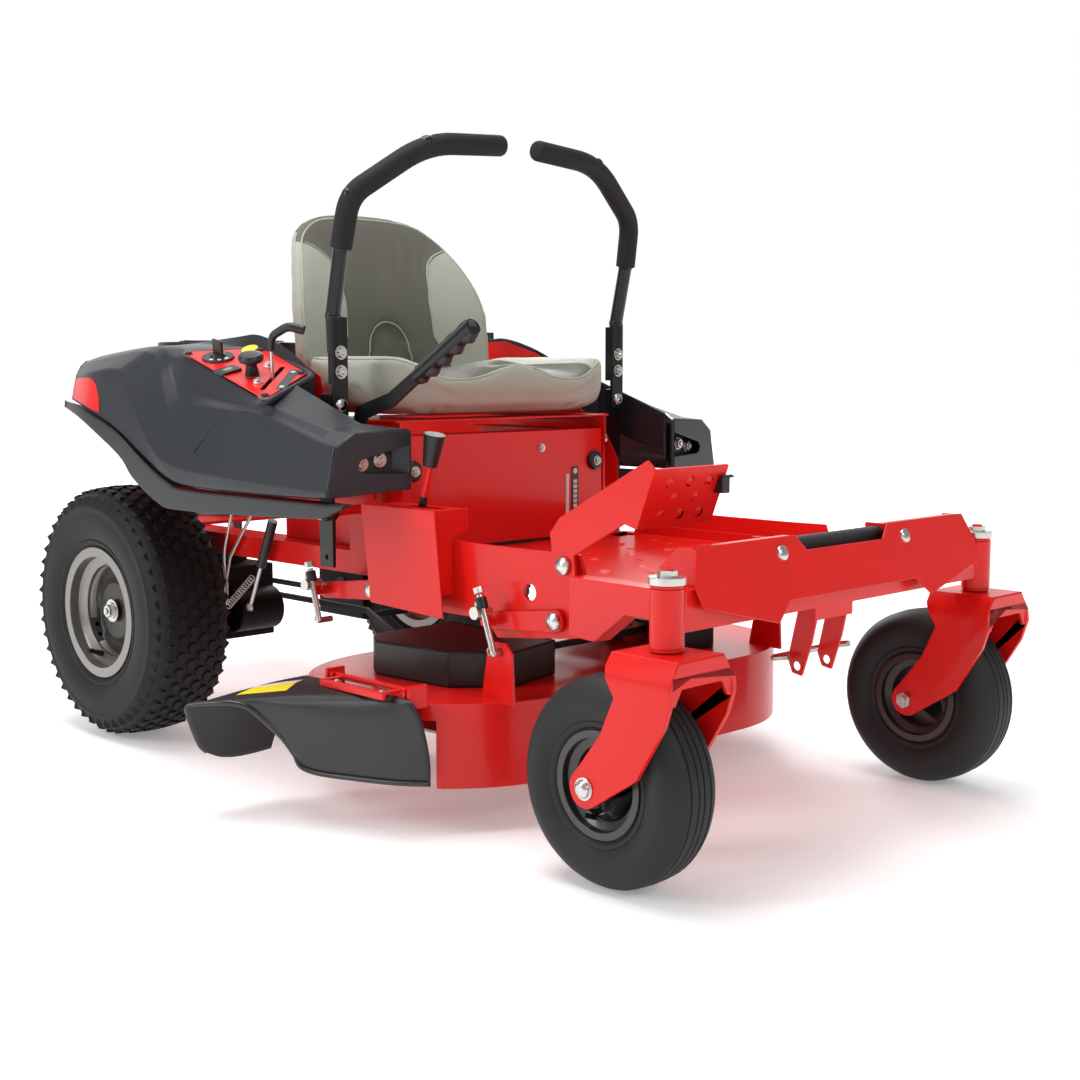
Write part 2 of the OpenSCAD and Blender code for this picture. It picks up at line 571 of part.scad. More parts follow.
// ---- mower deck ----
module deck_outline(r) {
  for (s = [-1, 1]) translate([s * spindle_x, spindle_y]) circle(r = r, $fn = 96);
  translate([-spindle_x, spindle_y - r]) square([2 * spindle_x, 2 * r]);
}
hanger_x = 330;
tab_x = 313;
module deck_shell() color("red") place() {
  difference() {
    translate([0, 0, skirt_z]) linear_extrude(deck_top - skirt_z) deck_outline(shell_r);
    translate([0, 0, skirt_z - 1]) linear_extrude(deck_top - skirt_z - 3) deck_outline(shell_r - 4);
    // discharge opening
    block([-500, -872, skirt_z - 1], [-300, -560, deck_top - 24]);
    for (s = [-1, 1]) bar_z(s * spindle_x, spindle_y, deck_top - 10, deck_top + 5, 45);
  }
  // spindle housings
  for (s = [-1, 1]) difference() {
    union() {
      bar_z(s * spindle_x, spindle_y, deck_top - 60, deck_top + 14, 30);
      bar_z(s * spindle_x, spindle_y, deck_top - 8, deck_top - 4, 62);
      bar_z(s * spindle_x, spindle_y, deck_top - 5, deck_top - 1, 46);
    }
    bar_z(s * spindle_x, spindle_y, deck_top - 70, deck_top + 20, 12.5 + run);
  }
  // hanger tabs
  for (y = [-925, -512]) both_sides() difference() {
    union() {
      plate_yz(tab_x, tab_x + 5) polygon([[y - 28, deck_top - 2], [y - 24, 262], [y - 10, 276], [y + 12, 276],
        [y + 26, 262], [y + 40 * sign(-700 - y), deck_top - 2]]);
    }
    bar_x(tab_x - 1, tab_x + 6, y, 262, 5.6);
  }
  // chute bracket and pin
  for (y = [-868, -678]) block([chute_hinge[0] - 9, y, deck_top - 3], [chute_hinge[0] + 24, y + 6, chute_hinge[1] + 9]);
  block([chute_hinge[0] + 14, -868, deck_top - 1], [chute_hinge[0] + 30, -672, deck_top + 4]);
  bar_y(chute_hinge[0], -866, -674, chute_hinge[1], 4);
}
module belt_covers() color("black") place() both_sides() difference() {
  translate([0, 0, deck_top + 0.2]) linear_extrude(54) polygon([[120, -840], [238, -868], [308, -800], [320, -646], [282, -590], [120, -590]]);
  translate([0, 0, deck_top]) linear_extrude(51) polygon([[119, -836], [236, -864], [304, -799], [316, -648], [280, -594], [119, -594]]);
  block([110, -600, deck_top], [268, -580, 234]);
}
// L bolts that hang the deck, each with its top nut
module deck_hangers() color("silver") place() both_sides() for (y = [-896, -490]) {
  shift = y == -896 ? -29 : -22;
  rod([hanger_x, y, 344], [hanger_x, y + shift, 262], 5);
  translate([hanger_x, y + shift, 262]) sphere(r = 5.6);
  bar_x(tab_x - 8, hanger_x, y + shift, 262, 5);
  translate([hanger_x, y, 322]) cylinder(h = 12, r = 9, $fn = 6);
}
// belt round both spindle pulleys and the engine pulley
module belt_loop(d) {
  hull() for (y = [crank_y, idler_y]) translate([0, y]) circle(r = crank_pulley_r + d, $fn = 32);
  hull() {
    for (s = [-1, 1]) translate([s * spindle_x, spindle_y]) circle(r = pulley_r + d, $fn = 32);
    translate([0, idler_y]) circle(r = crank_pulley_r + d, $fn = 32);
  }
}
module mower_belt() color("black") place() translate([0, 0, belt_z - 5]) difference() {
  linear_extrude(10) belt_loop(9);
  translate([0, 0, -1]) linear_extrude(12) belt_loop(0);
}
module spindle() {
  bar_z(spindle_x, spindle_y, 78, 238, 12.5);
  bar_z(spindle_x, spindle_y, 97, deck_top - 60 - gap, 20);
  bar_z(spindle_x, spindle_y, belt_z - 8, belt_z + 8, pulley_r - gap);
  bar_z(spindle_x, spindle_y, belt_z - 11, belt_z - 7, pulley_r + 7);
  bar_z(spindle_x, spindle_y, belt_z + 7, belt_z + 11, pulley_r + 7);
  bar_z(spindle_x, spindle_y, deck_top + 14 + gap, belt_z - 10, 20);
  translate([spindle_x, spindle_y, 70]) cylinder(h = 9, r = 15, $fn = 6);
}
module blade() difference() {
  translate([spindle_x, spindle_y, 90]) linear_extrude(5) polygon([[-30, -blade_r + 3], [28, -blade_r + 3], [28, -120],
    [24, 0], [30, blade_r - 3], [-28, blade_r - 3], [-28, 120], [-24, 0]]);
  bar_z(spindle_x, spindle_y, 80, 100, 12.5);
}
module spindle_right() color("silver") place() right_side() spindle();
module blade_right() color("silver") place() right_side() blade();
module spindle_left() color("silver") place() spindle();
module blade_left() color("silver") place() blade();

// ---- discharge chute ----
module chute_skin(t) hull() {
  for (p = [[-444, -884, 203], [-444, -634, 203], [-600, -550, 168], [-545, -604, 170], [-470, -800, 182],
            [-415, -884, 76], [-510, -648, 76], [-560, -540, 76], [-470, -552, 76], [-420, -884, 160]])
    translate(p) sphere(r = t, $fn = 12);
}
module chute() color("black") place() difference() {
  union() {
    difference() {
      chute_skin(5);
      hull() for (p = [[-430, -878, 198], [-430, -640, 198], [-600, -556, 163], [-540, -600, 165], [-466, -798, 177],
                       [-405, -876, 60], [-500, -650, 60], [-555, -547, 60], [-460, -558, 60], [-400, -876, 160]])
        translate(p) cube(0.5, center = true);
      // outlet
      translate([-620, -560, 40]) rotate([0, 0, 38]) cube([200, 14, 122]);
    }
    bar_y(chute_hinge[0], -858, -682, chute_hinge[1], 8);
    block([chute_hinge[0] - 16, -858, 196], [chute_hinge[0] - 3, -682, 208]);
  }
  bar_y(chute_hinge[0], -880, -660, chute_hinge[1], 4.06);
  bar_z(-spindle_x, spindle_y, 50, deck_top + 2, shell_r + 1);
  block([-436, -900, 60], [-300, -500, deck_top + 3]);
  for (y = [-872, -682]) block([chute_hinge[0] - 12, y, deck_top - 3], [chute_hinge[0] + 24, y + 14, 240]);
}

// ---- lift linkage ----
module lift_pedal() color("red") place() {
  difference() {
    plate_yz(-304, -299) polygon([[-1058, 412], [-1062, 380], [-1046, 374], [-1020, 380], [-1012, 440], [-1030, 462],
      [-1190, 548], [-1204, 536], [-1173, 456], [-1150, 462]]);
    bar_x(-306, -298, pedal_pivot[0], pedal_pivot[1], 8 + run);
  }
  // tread plate bent in towards the middle
  plate_yz(-300, -150) polygon([[-1204, 536], [-1173, 456], [-1169, 458], [-1200, 538]]);
}
module lift_arm(p) difference() {
  plate_yz(plate_out + 3, plate_out + 9) {
    polygon([[p[0] - 4, p[1] + 16], [p[0] + arm_reach[0], p[1] + arm_reach[1] + 13],
      [p[0] + arm_reach[0], p[1] + arm_reach[1] - 13], [p[0] - 4, p[1] - 16]]);
    translate(p) circle(r = 16);
    translate(p + arm_reach) circle(r = 13);
  }
  bar_x(290, 305, p[0], p[1], 8 + run);
}
module trunnion(p) bar_x(plate_out + 8, hanger_x - 7, p[0] + arm_reach[0], p[1] + arm_reach[1], 7);
module front_lift_arms() color("red") place() both_sides() { lift_arm(front_arm); trunnion(front_arm); }
module rear_lift_arms() color("red") place() both_sides() { lift_arm(rear_arm); trunnion(rear_arm); }
module lock_lever() color("black") place() {
  difference() {
    plate_yz(-300, -294) {
      translate(lock_pivot) circle(r = 13);
      polygon([[-735, 430], [-715, 428], [-733, 476], [-741, 474]]);
    }
    bar_x(-305, -290, lock_pivot[0], lock_pivot[1], 5 + run);
  }
  rod([-297, -736, 470], [-297, -752, 525], 5);
  translate([-297, -751, 520]) rotate([14, 0, 0]) cylinder(h = 50, r1 = 11, r2 = 17);
}

frame_rail_right();
frame_rail_left();
rear_frame();
front_beam();
front_guard();
foot_bar();
floor_pan();
seat_box();
lock_bracket();
pod_right();
pod_left();
flare_right();
flare_left();
control_panel();
fuel_tank();
battery();
engine_block();
engine_shroud();
transaxle_right();
transaxle_left();
frame_bolts();
tyre_right();
rim_right();
tyre_left();
rim_left();
fork_right();
caster_pins_right();
caster_tyre_right();
caster_rim_right();
fork_left();
caster_pins_left();
caster_tyre_left();
caster_rim_left();
control_arm_right();
lever_right();
grip_right();
control_arm_left();
lever_left();
grip_left();
brake_lever();
seat_plate();
seat();
deck_shell();
belt_covers();
deck_hangers();
mower_belt();
spindle_right();
blade_right();
spindle_left();
blade_left();
chute();
lift_pedal();
front_lift_arms();
rear_lift_arms();
lock_lever();
throttle_lever();
pto_knob();
ignition_key();
fuel_cap();
crank_pulley();
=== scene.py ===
import bpy
import bmesh
import json
import math
from mathutils import Matrix, Vector
from mathutils.bvhtree import BVHTree
from mathutils.kdtree import KDTree


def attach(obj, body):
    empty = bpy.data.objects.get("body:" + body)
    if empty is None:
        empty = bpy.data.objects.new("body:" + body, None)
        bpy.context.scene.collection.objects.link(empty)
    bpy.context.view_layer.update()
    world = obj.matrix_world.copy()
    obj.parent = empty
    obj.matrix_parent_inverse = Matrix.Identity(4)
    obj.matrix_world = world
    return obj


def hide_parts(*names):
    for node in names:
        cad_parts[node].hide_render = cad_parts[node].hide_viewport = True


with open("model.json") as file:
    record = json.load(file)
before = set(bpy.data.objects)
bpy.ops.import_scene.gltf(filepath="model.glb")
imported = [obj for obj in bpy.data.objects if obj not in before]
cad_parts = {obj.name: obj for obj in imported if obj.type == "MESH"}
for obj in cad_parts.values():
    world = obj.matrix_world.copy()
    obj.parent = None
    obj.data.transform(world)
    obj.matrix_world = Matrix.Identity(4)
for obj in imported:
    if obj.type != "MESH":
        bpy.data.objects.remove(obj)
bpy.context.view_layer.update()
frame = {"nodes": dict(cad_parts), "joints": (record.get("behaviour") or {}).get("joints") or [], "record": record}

# Studio. A pale floor with a white card behind it, soft light from above and both sides, and a camera
# at standing height off the machine's right front corner.
joints = {j["name"]: j for j in frame["joints"]}
rear_axle = Vector(joints["rear_wheel_left_spin"]["pos_m"])
TRACK_HALF = 0.372
middle_x, axle_y = rear_axle.x - TRACK_HALF, rear_axle.y


def at(x, y, z):
    """A place on the mower in mm: sideways from its centre plane, back from the rear axle, and up."""
    return Vector((middle_x + x / 1000, axle_y + y / 1000, z / 1000))


def spots(points, side=1):
    """Places on the mower from (x, y, z) in mm, with x turned over where side is -1."""
    return [at(side * x, y, z) for x, y, z in points]


scene = bpy.context.scene
camera = bpy.data.objects.new("camera", bpy.data.cameras.new("camera"))
scene.collection.objects.link(camera)
scene.camera = camera
camera.location = at(-1820, -2526, 673)
turn, rise = math.radians(-45), math.radians(6.75)
away = Vector((math.sin(turn) * math.cos(rise), -math.cos(turn) * math.cos(rise), math.sin(rise)))
camera.rotation_mode = "QUATERNION"
camera.rotation_quaternion = (-away).to_track_quat("-Z", "Y")
camera.data.sensor_width = 36
camera.data.lens = 51.83
camera.data.shift_x, camera.data.shift_y = -0.008, 0.0071

scene.view_settings.view_transform = "Standard"
world = bpy.data.worlds.new("studio")
scene.world = world
world.use_nodes = True
world.node_tree.nodes["Background"].inputs["Color"].default_value = (1.0, 1.0, 1.0, 1)
world.node_tree.nodes["Background"].inputs["Strength"].default_value = 0.34


def lamp(name, place, target, size, power):
    light = bpy.data.lights.new(name, "AREA")
    light.shape = "RECTANGLE"
    light.size, light.size_y = size
    light.energy = power
    holder = bpy.data.objects.new(name, light)
    holder.location = place
    holder.rotation_mode = "QUATERNION"
    holder.rotation_quaternion = (Vector(place) - Vector(target)).to_track_quat("Z", "Y")
    scene.collection.objects.link(holder)


lamp("top_light", (-0.4, 0.2, 3.8), (0, 0, 0.4), (2.2, 2.6), 115)
lamp("right_light", (-3.6, 1.0, 2.2), (0, 0, 0.4), (0.9, 2.4), 60)
lamp("front_light", (-0.4, -4.2, 2.6), (0, -0.4, 0.4), (2.0, 1.2), 38)
lamp("back_light", (2.6, 2.6, 2.2), (0, 0.2, 0.6), (1.6, 1.6), 60)


class Value:
    """One output in a finish's nodes. Sums written on it become Math nodes."""

    def __init__(self, finish, socket):
        self.finish, self.socket = finish, socket

    def maths(self, operation, first, second=0.0):
        return self.finish.node("Math", {"operation": operation}, {0: first, 1: second})

    def __add__(self, other):
        return self.maths("ADD", self, other)

    __radd__ = __add__

    def __mul__(self, other):
        return self.maths("MULTIPLY", self, other)

    __rmul__ = __mul__

    def __sub__(self, other):
        return self.maths("SUBTRACT", self, other)

    def __rsub__(self, other):
        return self.maths("SUBTRACT", other, self)

    def above(self, edge, soft):
        """0 below edge and 1 over edge + soft."""
        return self.finish.node("MapRange", {"interpolation_type": "SMOOTHSTEP"},
                                {"Value": self, "From Min": edge, "From Max": edge + soft}, "Result")


class Finish:
    """A paint, plastic, rubber, metal or fabric: a Principled shader and what varies on it."""

    def __init__(self, name, slot, colour, rough, fixed=()):
        self.material = bpy.data.materials.new(name)
        self.material.use_nodes = True
        self.tree = self.material.node_tree
        self.shader = self.tree.nodes["Principled BSDF"]
        self.slot, self.colour = slot, colour
        for socket, value in {"Base Color": (*colour, 1), "Roughness": rough, **dict(fixed)}.items():
            self.shader.inputs[socket].default_value = value
        self.place = self.node("TexCoord", out="Object")

    def node(self, kind, settings=(), sockets=(), out=0):
        made = self.tree.nodes.new("ShaderNode" + kind)
        for key, value in dict(settings).items():
            if key == "stops":
                for stop, (where, shade) in zip(made.color_ramp.elements, value):
                    stop.position, stop.color = where, shade
            else:
                setattr(made, key, value)
        for key, value in dict(sockets).items():
            self.feed(made.inputs[key], value)
        return Value(self, made.outputs[out])

    def feed(self, socket, value):
        if isinstance(value, Value):
            self.tree.links.new(value.socket, socket)
        else:
            socket.default_value = value

    def noise(self, scale, detail=3.0, stretch=None):
        where = self.place
        if stretch:
            where = self.node("Mapping", sockets={"Vector": where, "Scale": stretch})
        return self.node("TexNoise", sockets={"Vector": where, "Scale": scale, "Detail": detail})

    def cells(self, scale, feature="F1"):
        return self.node("TexVoronoi", {"feature": feature}, {"Vector": self.place, "Scale": scale},
                         "Distance")

    def blend(self, share, low, high):
        return self.node("Mix", {"data_type": "RGBA"}, {0: share, 6: low, 7: high}, 2)

    def tint(self, share, low, high):
        """The base colour from low to high times itself."""
        shades = [(*(channel * k for channel in self.colour), 1) for k in (low, high)]
        self.feed(self.shader.inputs["Base Color"], self.blend(share, *shades))

    def rough(self, value):
        self.feed(self.shader.inputs["Roughness"], value)

    def bump(self, height, depth, strength=1.0):
        raised = self.node("Bump", sockets={"Strength": strength, "Distance": depth, "Height": height})
        self.feed(self.shader.inputs["Normal"], raised)


floor_paint = Finish("floor_paper", None, (0.93, 0.93, 0.93), 0.85)
floor_paint.tint(floor_paint.noise(1.5), 0.985, 1.0)
floor_paint.shader.inputs["Emission Strength"].default_value = 1.0
from_middle = floor_paint.node("VectorMath", {"operation": "LENGTH"}, {0: floor_paint.place}, "Value")
floor_paint.feed(floor_paint.shader.inputs["Emission Color"],
                 floor_paint.blend(from_middle.above(1.6, 3.0), (0.24, 0.24, 0.24, 1), (0.95, 0.95, 0.95, 1)))
floor = bmesh.new()
bmesh.ops.create_grid(floor, x_segments=1, y_segments=1, size=14)
sheet = bpy.data.meshes.new("floor")
floor.to_mesh(sheet)
sheet.materials.append(floor_paint.material)
ground = bpy.data.objects.new("floor", sheet)
ground.location.z = -0.0005
scene.collection.objects.link(ground)
backdrop_paint = Finish("backdrop_paper", None, (0, 0, 0), 1.0,
                        {"Emission Color": (1, 1, 1, 1), "Emission Strength": 1.0})
card = bmesh.new()
bmesh.ops.create_grid(card, x_segments=1, y_segments=1, size=13)
sheet = bpy.data.meshes.new("backdrop")
card.to_mesh(sheet)
sheet.materials.append(backdrop_paint.material)
wall = bpy.data.objects.new("backdrop", sheet)
wall.location = (6.5, 9.0, 4)
wall.rotation_euler = (math.radians(90), 0, math.radians(-35.8))
scene.collection.objects.link(wall)

# Frame, seat box, floor pan and brackets: welded steel sheet and tube, red powder coat with a
# slight orange peel. Cut edges are rounded where the paint has flowed over them.
def powder_coat(name, slot, colour, rough, coat, peel=0.00012):
    paint = Finish(name, slot, colour, rough,
                   {"Coat Weight": coat, "Coat Roughness": 0.1, "Specular IOR Level": 0.25})
    cloud, dust = paint.noise(9, 2), paint.noise(260, 4)
    paint.tint(cloud * 0.7 + dust * 0.3, 0.9, 1.08)
    paint.rough(rough + (dust - 0.5) * 0.12 + (cloud - 0.5) * 0.1)
    paint.bump(paint.noise(330, 1.5), peel, 0.6)
    return paint


red = powder_coat("red_powder_coat", "red_paint", (0.70, 0.008, 0.005), 0.34, 0.22)


def finish_piece(name, shape, finish, body, edge=0.0, stands_for=(), corner=35, flats=False):
    """Makes an object of a bmesh. edge is the width in mm that its sharp edges are rounded to."""
    bmesh.ops.remove_doubles(shape, verts=shape.verts, dist=1e-5)
    if not stands_for:
        bmesh.ops.recalc_face_normals(shape, faces=shape.faces)
    for face in shape.faces:
        face.smooth = not flats
    for line in shape.edges:
        if len(line.link_faces) == 2:
            line.smooth = bool(edge) or line.calc_face_angle(0) < math.radians(corner)
    mesh = bpy.data.meshes.new(name)
    shape.to_mesh(mesh)
    shape.free()
    mesh.materials.append(finish.material)
    made = bpy.data.objects.new(name, mesh)
    scene.collection.objects.link(made)
    if edge:
        rounding = made.modifiers.new("edge", "BEVEL")
        rounding.width = edge / 1000
        rounding.segments = 2
        rounding.limit_method = "ANGLE"
        rounding.angle_limit = math.radians(corner)
        rounding.use_clamp_overlap = False
        shading = made.modifiers.new("shading", "WEIGHTED_NORMAL")
        shading.keep_sharp = True
    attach(made, body)
    if stands_for:
        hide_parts(*stands_for)
    return made


body_of_node = {n: b for b, ns in frame["record"]["behaviour"]["bodies"].items() for n in ns}


def solid_of(node):
    """A merged copy of a CAD node's solid, with its flat faces whole."""
    shape = bmesh.new()
    shape.from_mesh(frame["nodes"][node].data)
    bmesh.ops.remove_doubles(shape, verts=shape.verts, dist=2e-5)
    bmesh.ops.dissolve_limit(shape, angle_limit=math.radians(0.6), verts=shape.verts, edges=shape.edges)
    return shape


def dress(nodes, finish, edge, corner=35):
    for node in nodes.split():
        finish_piece(node + "_skin", solid_of(node), finish, body_of_node[node], edge, (node,), corner)


dress("frame_rail_right frame_rail_left rear_frame front_beam front_guard lock_bracket", red, 1.0)
dress("seat_box floor_pan", red, 1.2)
dress("lift_pedal front_lift_arms rear_lift_arms deck_shell", red, 0.9)

# Rear wheels. Turf tyres on steel rims: a rounded carcass with rings moulded in the sidewall and
# rows of low tread blocks, on a deep stepped rim in grey metallic paint, held by one hub bolt.
def rubber(name, slot, colour, rough, grain=0.00015):
    skin = Finish(name, slot, colour, rough, {"Specular IOR Level": 0.28})
    cloud, dust = skin.noise(14, 3), skin.noise(500, 3)
    skin.tint(cloud * 0.6 + dust * 0.4, 0.7, 1.5)
    skin.rough(rough + (cloud - 0.5) * 0.16 + (dust - 0.5) * 0.1)
    skin.bump(dust * 0.6 + skin.noise(1400, 2) * 0.4, grain, 0.5)
    return skin


tyre_rubber = rubber("turf_tyre_rubber", "turf_tyre", (0.0095, 0.0098, 0.0102), 0.6)


def spun(shape, profile, hub, steps=96, closed=True):
    """Turns a profile of (radius, distance along x) pairs in mm about the x line through hub."""
    points = [shape.verts.new(hub + Vector((u, 0, r)) / 1000) for r, u in profile]
    pairs = list(zip(points, points[1:] + points[:1])) if closed else list(zip(points, points[1:]))
    lines = [shape.edges.new(pair) for pair in pairs]
    bmesh.ops.spin(shape, geom=points + lines, cent=hub, axis=(1, 0, 0), angle=math.tau, steps=steps,
                   use_merge=True)


def lug(shape, hub, plan, base, top, shrink, steps, start):
    """One tread block from its plan of (along, across) mm, then the whole ring of them."""
    low = [shape.verts.new(hub + Vector((u, v, base)) / 1000) for v, u in plan]
    face = shape.faces.new(low)
    raised = bmesh.ops.extrude_face_region(shape, geom=[face])["geom"]
    high = [v for v in raised if isinstance(v, bmesh.types.BMVert)]
    middle = sum((v.co for v in high), Vector()) / len(high)
    for v in high:
        v.co.z += (top - base) / 1000
        v.co.xy = middle.xy + (v.co.xy - middle.xy) * shrink
    around = Matrix.Translation(hub) @ Matrix.Rotation(start, 4, "X") @ Matrix.Translation(-hub)
    block = [face] + [f for f in shape.faces if f != face and any(v in low or v in high for v in f.verts)]
    bmesh.ops.transform(shape, matrix=around, verts=low + high)
    bmesh.ops.spin(shape, geom=list({*block, *low, *high}), cent=hub, axis=(1, 0, 0),
                   angle=math.tau * (steps - 1) / steps, steps=steps - 1, use_duplicate=True)


def mirrored(points):
    return points + [(r, -u) for r, u in reversed(points) if u > 0.01]


BLOCKS = 46
for side, sign in (("right", -1), ("left", 1)):
    hub = Vector(joints[f"rear_wheel_{side}_spin"]["pos_m"])
    carcass = bmesh.new()
    profile = [(104, 58), (104, 65.6), (119, 65.8), (124, 69.5), (127, 72.2), (130, 72.4), (132, 71),
               (140, 74.6), (152, 77.4), (164, 78.4), (176, 78.2), (184, 77), (186, 77.8), (190, 77.4),
               (192, 75.4), (200, 72), (208, 67), (214, 60), (217.5, 50), (219.5, 38), (221, 20), (221.4, 0)]
    spun(carcass, mirrored(profile), hub, 128)
    pitch = math.tau / BLOCKS
    hexagon = [(-9.4, -5), (-9.4, 5), (-2, 9.4), (9.4, 6), (9.4, -4), (2, -9.4)]
    for row, u in enumerate((-50, -30, -10, 10, 30, 50)):
        crown = 221.4 - (u / 50) ** 2 * 4.2
        plan = [(v, u + w) for v, w in hexagon]
        lug(carcass, hub, plan, crown - 3, crown + 4.2, 0.94, BLOCKS, pitch * (0.5 * (row % 2)))
    for way in (-1, 1):
        plan = [(-8.5, way * 60), (8.5, way * 60), (10, way * 66), (1.5, way * 75.5), (-10, way * 66)]
        lug(carcass, hub, plan, 196, 208.5, 0.94, BLOCKS, pitch * 0.25)
    finish_piece(f"tyre_{side}_tread", carcass, tyre_rubber, f"rear_wheel_{side}", 0, (f"tyre_{side}",), 32)

rim_grey = Finish("rim_metallic_grey", "rim_grey", (0.23, 0.215, 0.2), 0.36,
                  {"Metallic": 0.75, "Coat Weight": 0.25, "Coat Roughness": 0.12})
# Painted shade: the rim's deep centre, within about 80 mm of the axle, is darkened to about a fifth and made
# rougher; the grey comes up to full over the outer step.
hub_line = rim_grey.node("VectorMath", {"operation": "SUBTRACT"}, {0: rim_grey.place, 1: (0, *rear_axle.yz)})
ring = rim_grey.node("VectorMath", {"operation": "LENGTH"}, {0: rim_grey.node(
    "VectorMath", {"operation": "MULTIPLY"}, {0: hub_line, 1: (0, 1, 1)})}, "Value")
flake = rim_grey.noise(900, 4)
outside_painted_shade = ring.above(0.078, 0.008)
rim_grey.tint(outside_painted_shade * 0.75 + flake * 0.25, 0.1, 1.15)
rim_grey.rough(0.34 + (flake - 0.5) * 0.2 + (1 - outside_painted_shade) * 0.15)
rim_grey.bump(rim_grey.noise(240, 2), 0.0001, 0.5)
dress("rim_right rim_left", rim_grey, 1.2, 20)


def plated(name, slot, colour, rough):
    metal = Finish(name, slot, colour, rough, {"Metallic": 1.0})
    cloud, scratch = metal.noise(60, 3), metal.noise(300, 4, (1, 1, 6))
    metal.tint(cloud * 0.5 + scratch * 0.5, 0.72, 1.1)
    metal.rough(rough + (cloud - 0.5) * 0.22 + (scratch - 0.5) * 0.15)
    metal.bump(scratch, 0.00006, 0.5)
    return metal


zinc = plated("zinc_plate", "zinc", (0.66, 0.65, 0.62), 0.3)


def turn_to(direction):
    return Vector(direction).to_track_quat("Z", "Y").to_matrix().to_4x4()


def disc(shape, place, direction, r, h, r_top=None, sides=32):
    """A short round or six-sided solid standing on place, along direction, in mm."""
    made = bmesh.ops.create_cone(shape, cap_ends=True, segments=sides, radius1=r / 1000,
                                 radius2=(r if r_top is None else r_top) / 1000, depth=h / 1000)
    step = Matrix.Translation((0, 0, h / 2000))
    stand = Matrix.Translation(place) @ turn_to(direction) @ step
    bmesh.ops.transform(shape, matrix=stand, verts=made["verts"])


def bolt(shape, place, direction, size, washer=True):
    """A flanged hexagon bolt head with its thread end, for an M size."""
    way = Vector(direction).normalized()
    if washer:
        disc(shape, place, way, size * 1.25, size * 0.22)
    disc(shape, place + way * size * 0.2 / 1000, way, size * 0.98, size * 0.62, sides=6)
    disc(shape, place + way * size * 0.8 / 1000, way, size * 0.5, size * 0.3, size * 0.42)


def dome(shape, place, direction, r, h):
    """A domed carriage bolt head."""
    way = Vector(direction).normalized()
    last = r
    for k in range(5):
        low, high = math.sin(math.radians(18 * k)), math.sin(math.radians(18 * (k + 1)))
        top = r * math.cos(math.radians(18 * (k + 1)))
        disc(shape, place + way * h * low / 1000, way, last, h * (high - low), max(top, 0.3))
        last = max(top, 0.3)


for side, sign in (("right", -1), ("left", 1)):
    hub = Vector(joints[f"rear_wheel_{side}_spin"]["pos_m"])
    bolts = bmesh.new()
    out = Vector((sign, 0, 0))
    disc(bolts, hub + out * 0.0382, out, 21, 2.4)
    bolt(bolts, hub + out * 0.0406, out, 12)
    finish_piece(f"hub_bolt_{side}", bolts, zinc, f"rear_wheel_{side}", 0.4)

black_plastic = rubber("black_plastic", "black_plastic", (0.012, 0.012, 0.013), 0.42, 0.0001)
for side, sign in (("right", -1), ("left", 1)):
    for wheel, joint_name, radius, depth, size in (
            ("rear", f"rear_wheel_{side}_spin", 88, 46, 5.5),
            ("caster", f"caster_wheel_{side}_spin", 54, 20, 4.2)):
        hub = Vector(joints[joint_name]["pos_m"])
        valve = bmesh.new()
        where = hub + Vector((sign * depth / 1000, 0.35 * radius / 1000, -0.93 * radius / 1000))
        way = Vector((sign, -0.12, 0.35))
        disc(valve, where, way, size, 20, size * 0.7, 20)
        disc(valve, where + way.normalized() * 0.02, way, size * 0.85, 10, size * 0.75, 16)
        finish_piece(f"{wheel}_valve_{side}", valve, black_plastic, joint_name.replace("_spin", ""))

# Casters. Formed steel forks in the frame's red, on smooth ribbed tyres with dark steel rims, and
# a long axle bolt with a domed head outside and a nut inside. A cap and nut close the pivot tube.
caster_rubber = rubber("caster_tyre_rubber", "caster_rubber", (0.017, 0.017, 0.0175), 0.55)
for side in ("right", "left"):
    hub = Vector(joints[f"caster_wheel_{side}_spin"]["pos_m"])
    carcass = bmesh.new()
    crown = [(137.2, 26), (138.6, 23), (138.6, 20.5), (136.8, 19.6), (136.8, 18), (139, 17), (139.6, 8),
             (139.6, 7), (137.8, 6.2), (137.8, 4.6), (139.7, 3.6), (140, 0)]
    sidewall = [(64.5, 36), (64.5, 37.6), (73, 37.6), (76, 41), (79, 42.6), (82, 42.6), (83, 41.6),
                (92, 46.6), (101, 49.2), (109, 49.8), (116, 48.6), (124, 44.2), (130, 37.6), (134.6, 31)]
    spun(carcass, mirrored(sidewall + crown), hub, 112)
    finish_piece(f"caster_tyre_{side}_ribbed", carcass, caster_rubber, f"caster_wheel_{side}", 0,
                 (f"caster_tyre_{side}",), 40)
rim_dark = Finish("rim_dark_grey", "caster_rim_dark", (0.055, 0.05, 0.048), 0.33,
                  {"Metallic": 0.6, "Coat Weight": 0.3, "Coat Roughness": 0.1})
flake = rim_dark.noise(900, 4)
rim_dark.tint(flake, 0.7, 1.3)
rim_dark.rough(0.3 + flake * 0.14)
rim_dark.bump(rim_dark.noise(240, 2), 0.0001, 0.5)
dress("caster_rim_right caster_rim_left", rim_dark, 1.0, 20)
dress("fork_right fork_left", red, 1.2)
dress("caster_pins_right caster_pins_left frame_bolts", zinc, 0.5, 25)

black_rubber = rubber("black_rubber", "chute_rubber", (0.0125, 0.0125, 0.0128), 0.48, 0.0001)
for side in ("right", "left"):
    pivot = Vector(joints[f"caster_{side}_swivel"]["pos_m"])
    seal = bmesh.new()
    base = Vector((pivot.x, pivot.y, 0.3177))
    for r, low, high in ((19, 0, 1.2), (16.5, 1.2, 1.8)):
        disc(seal, base + Vector((0, 0, low / 1000)), (0, 0, 1), r, high - low)
    finish_piece(f"caster_seal_{side}", seal, black_rubber, f"caster_{side}")
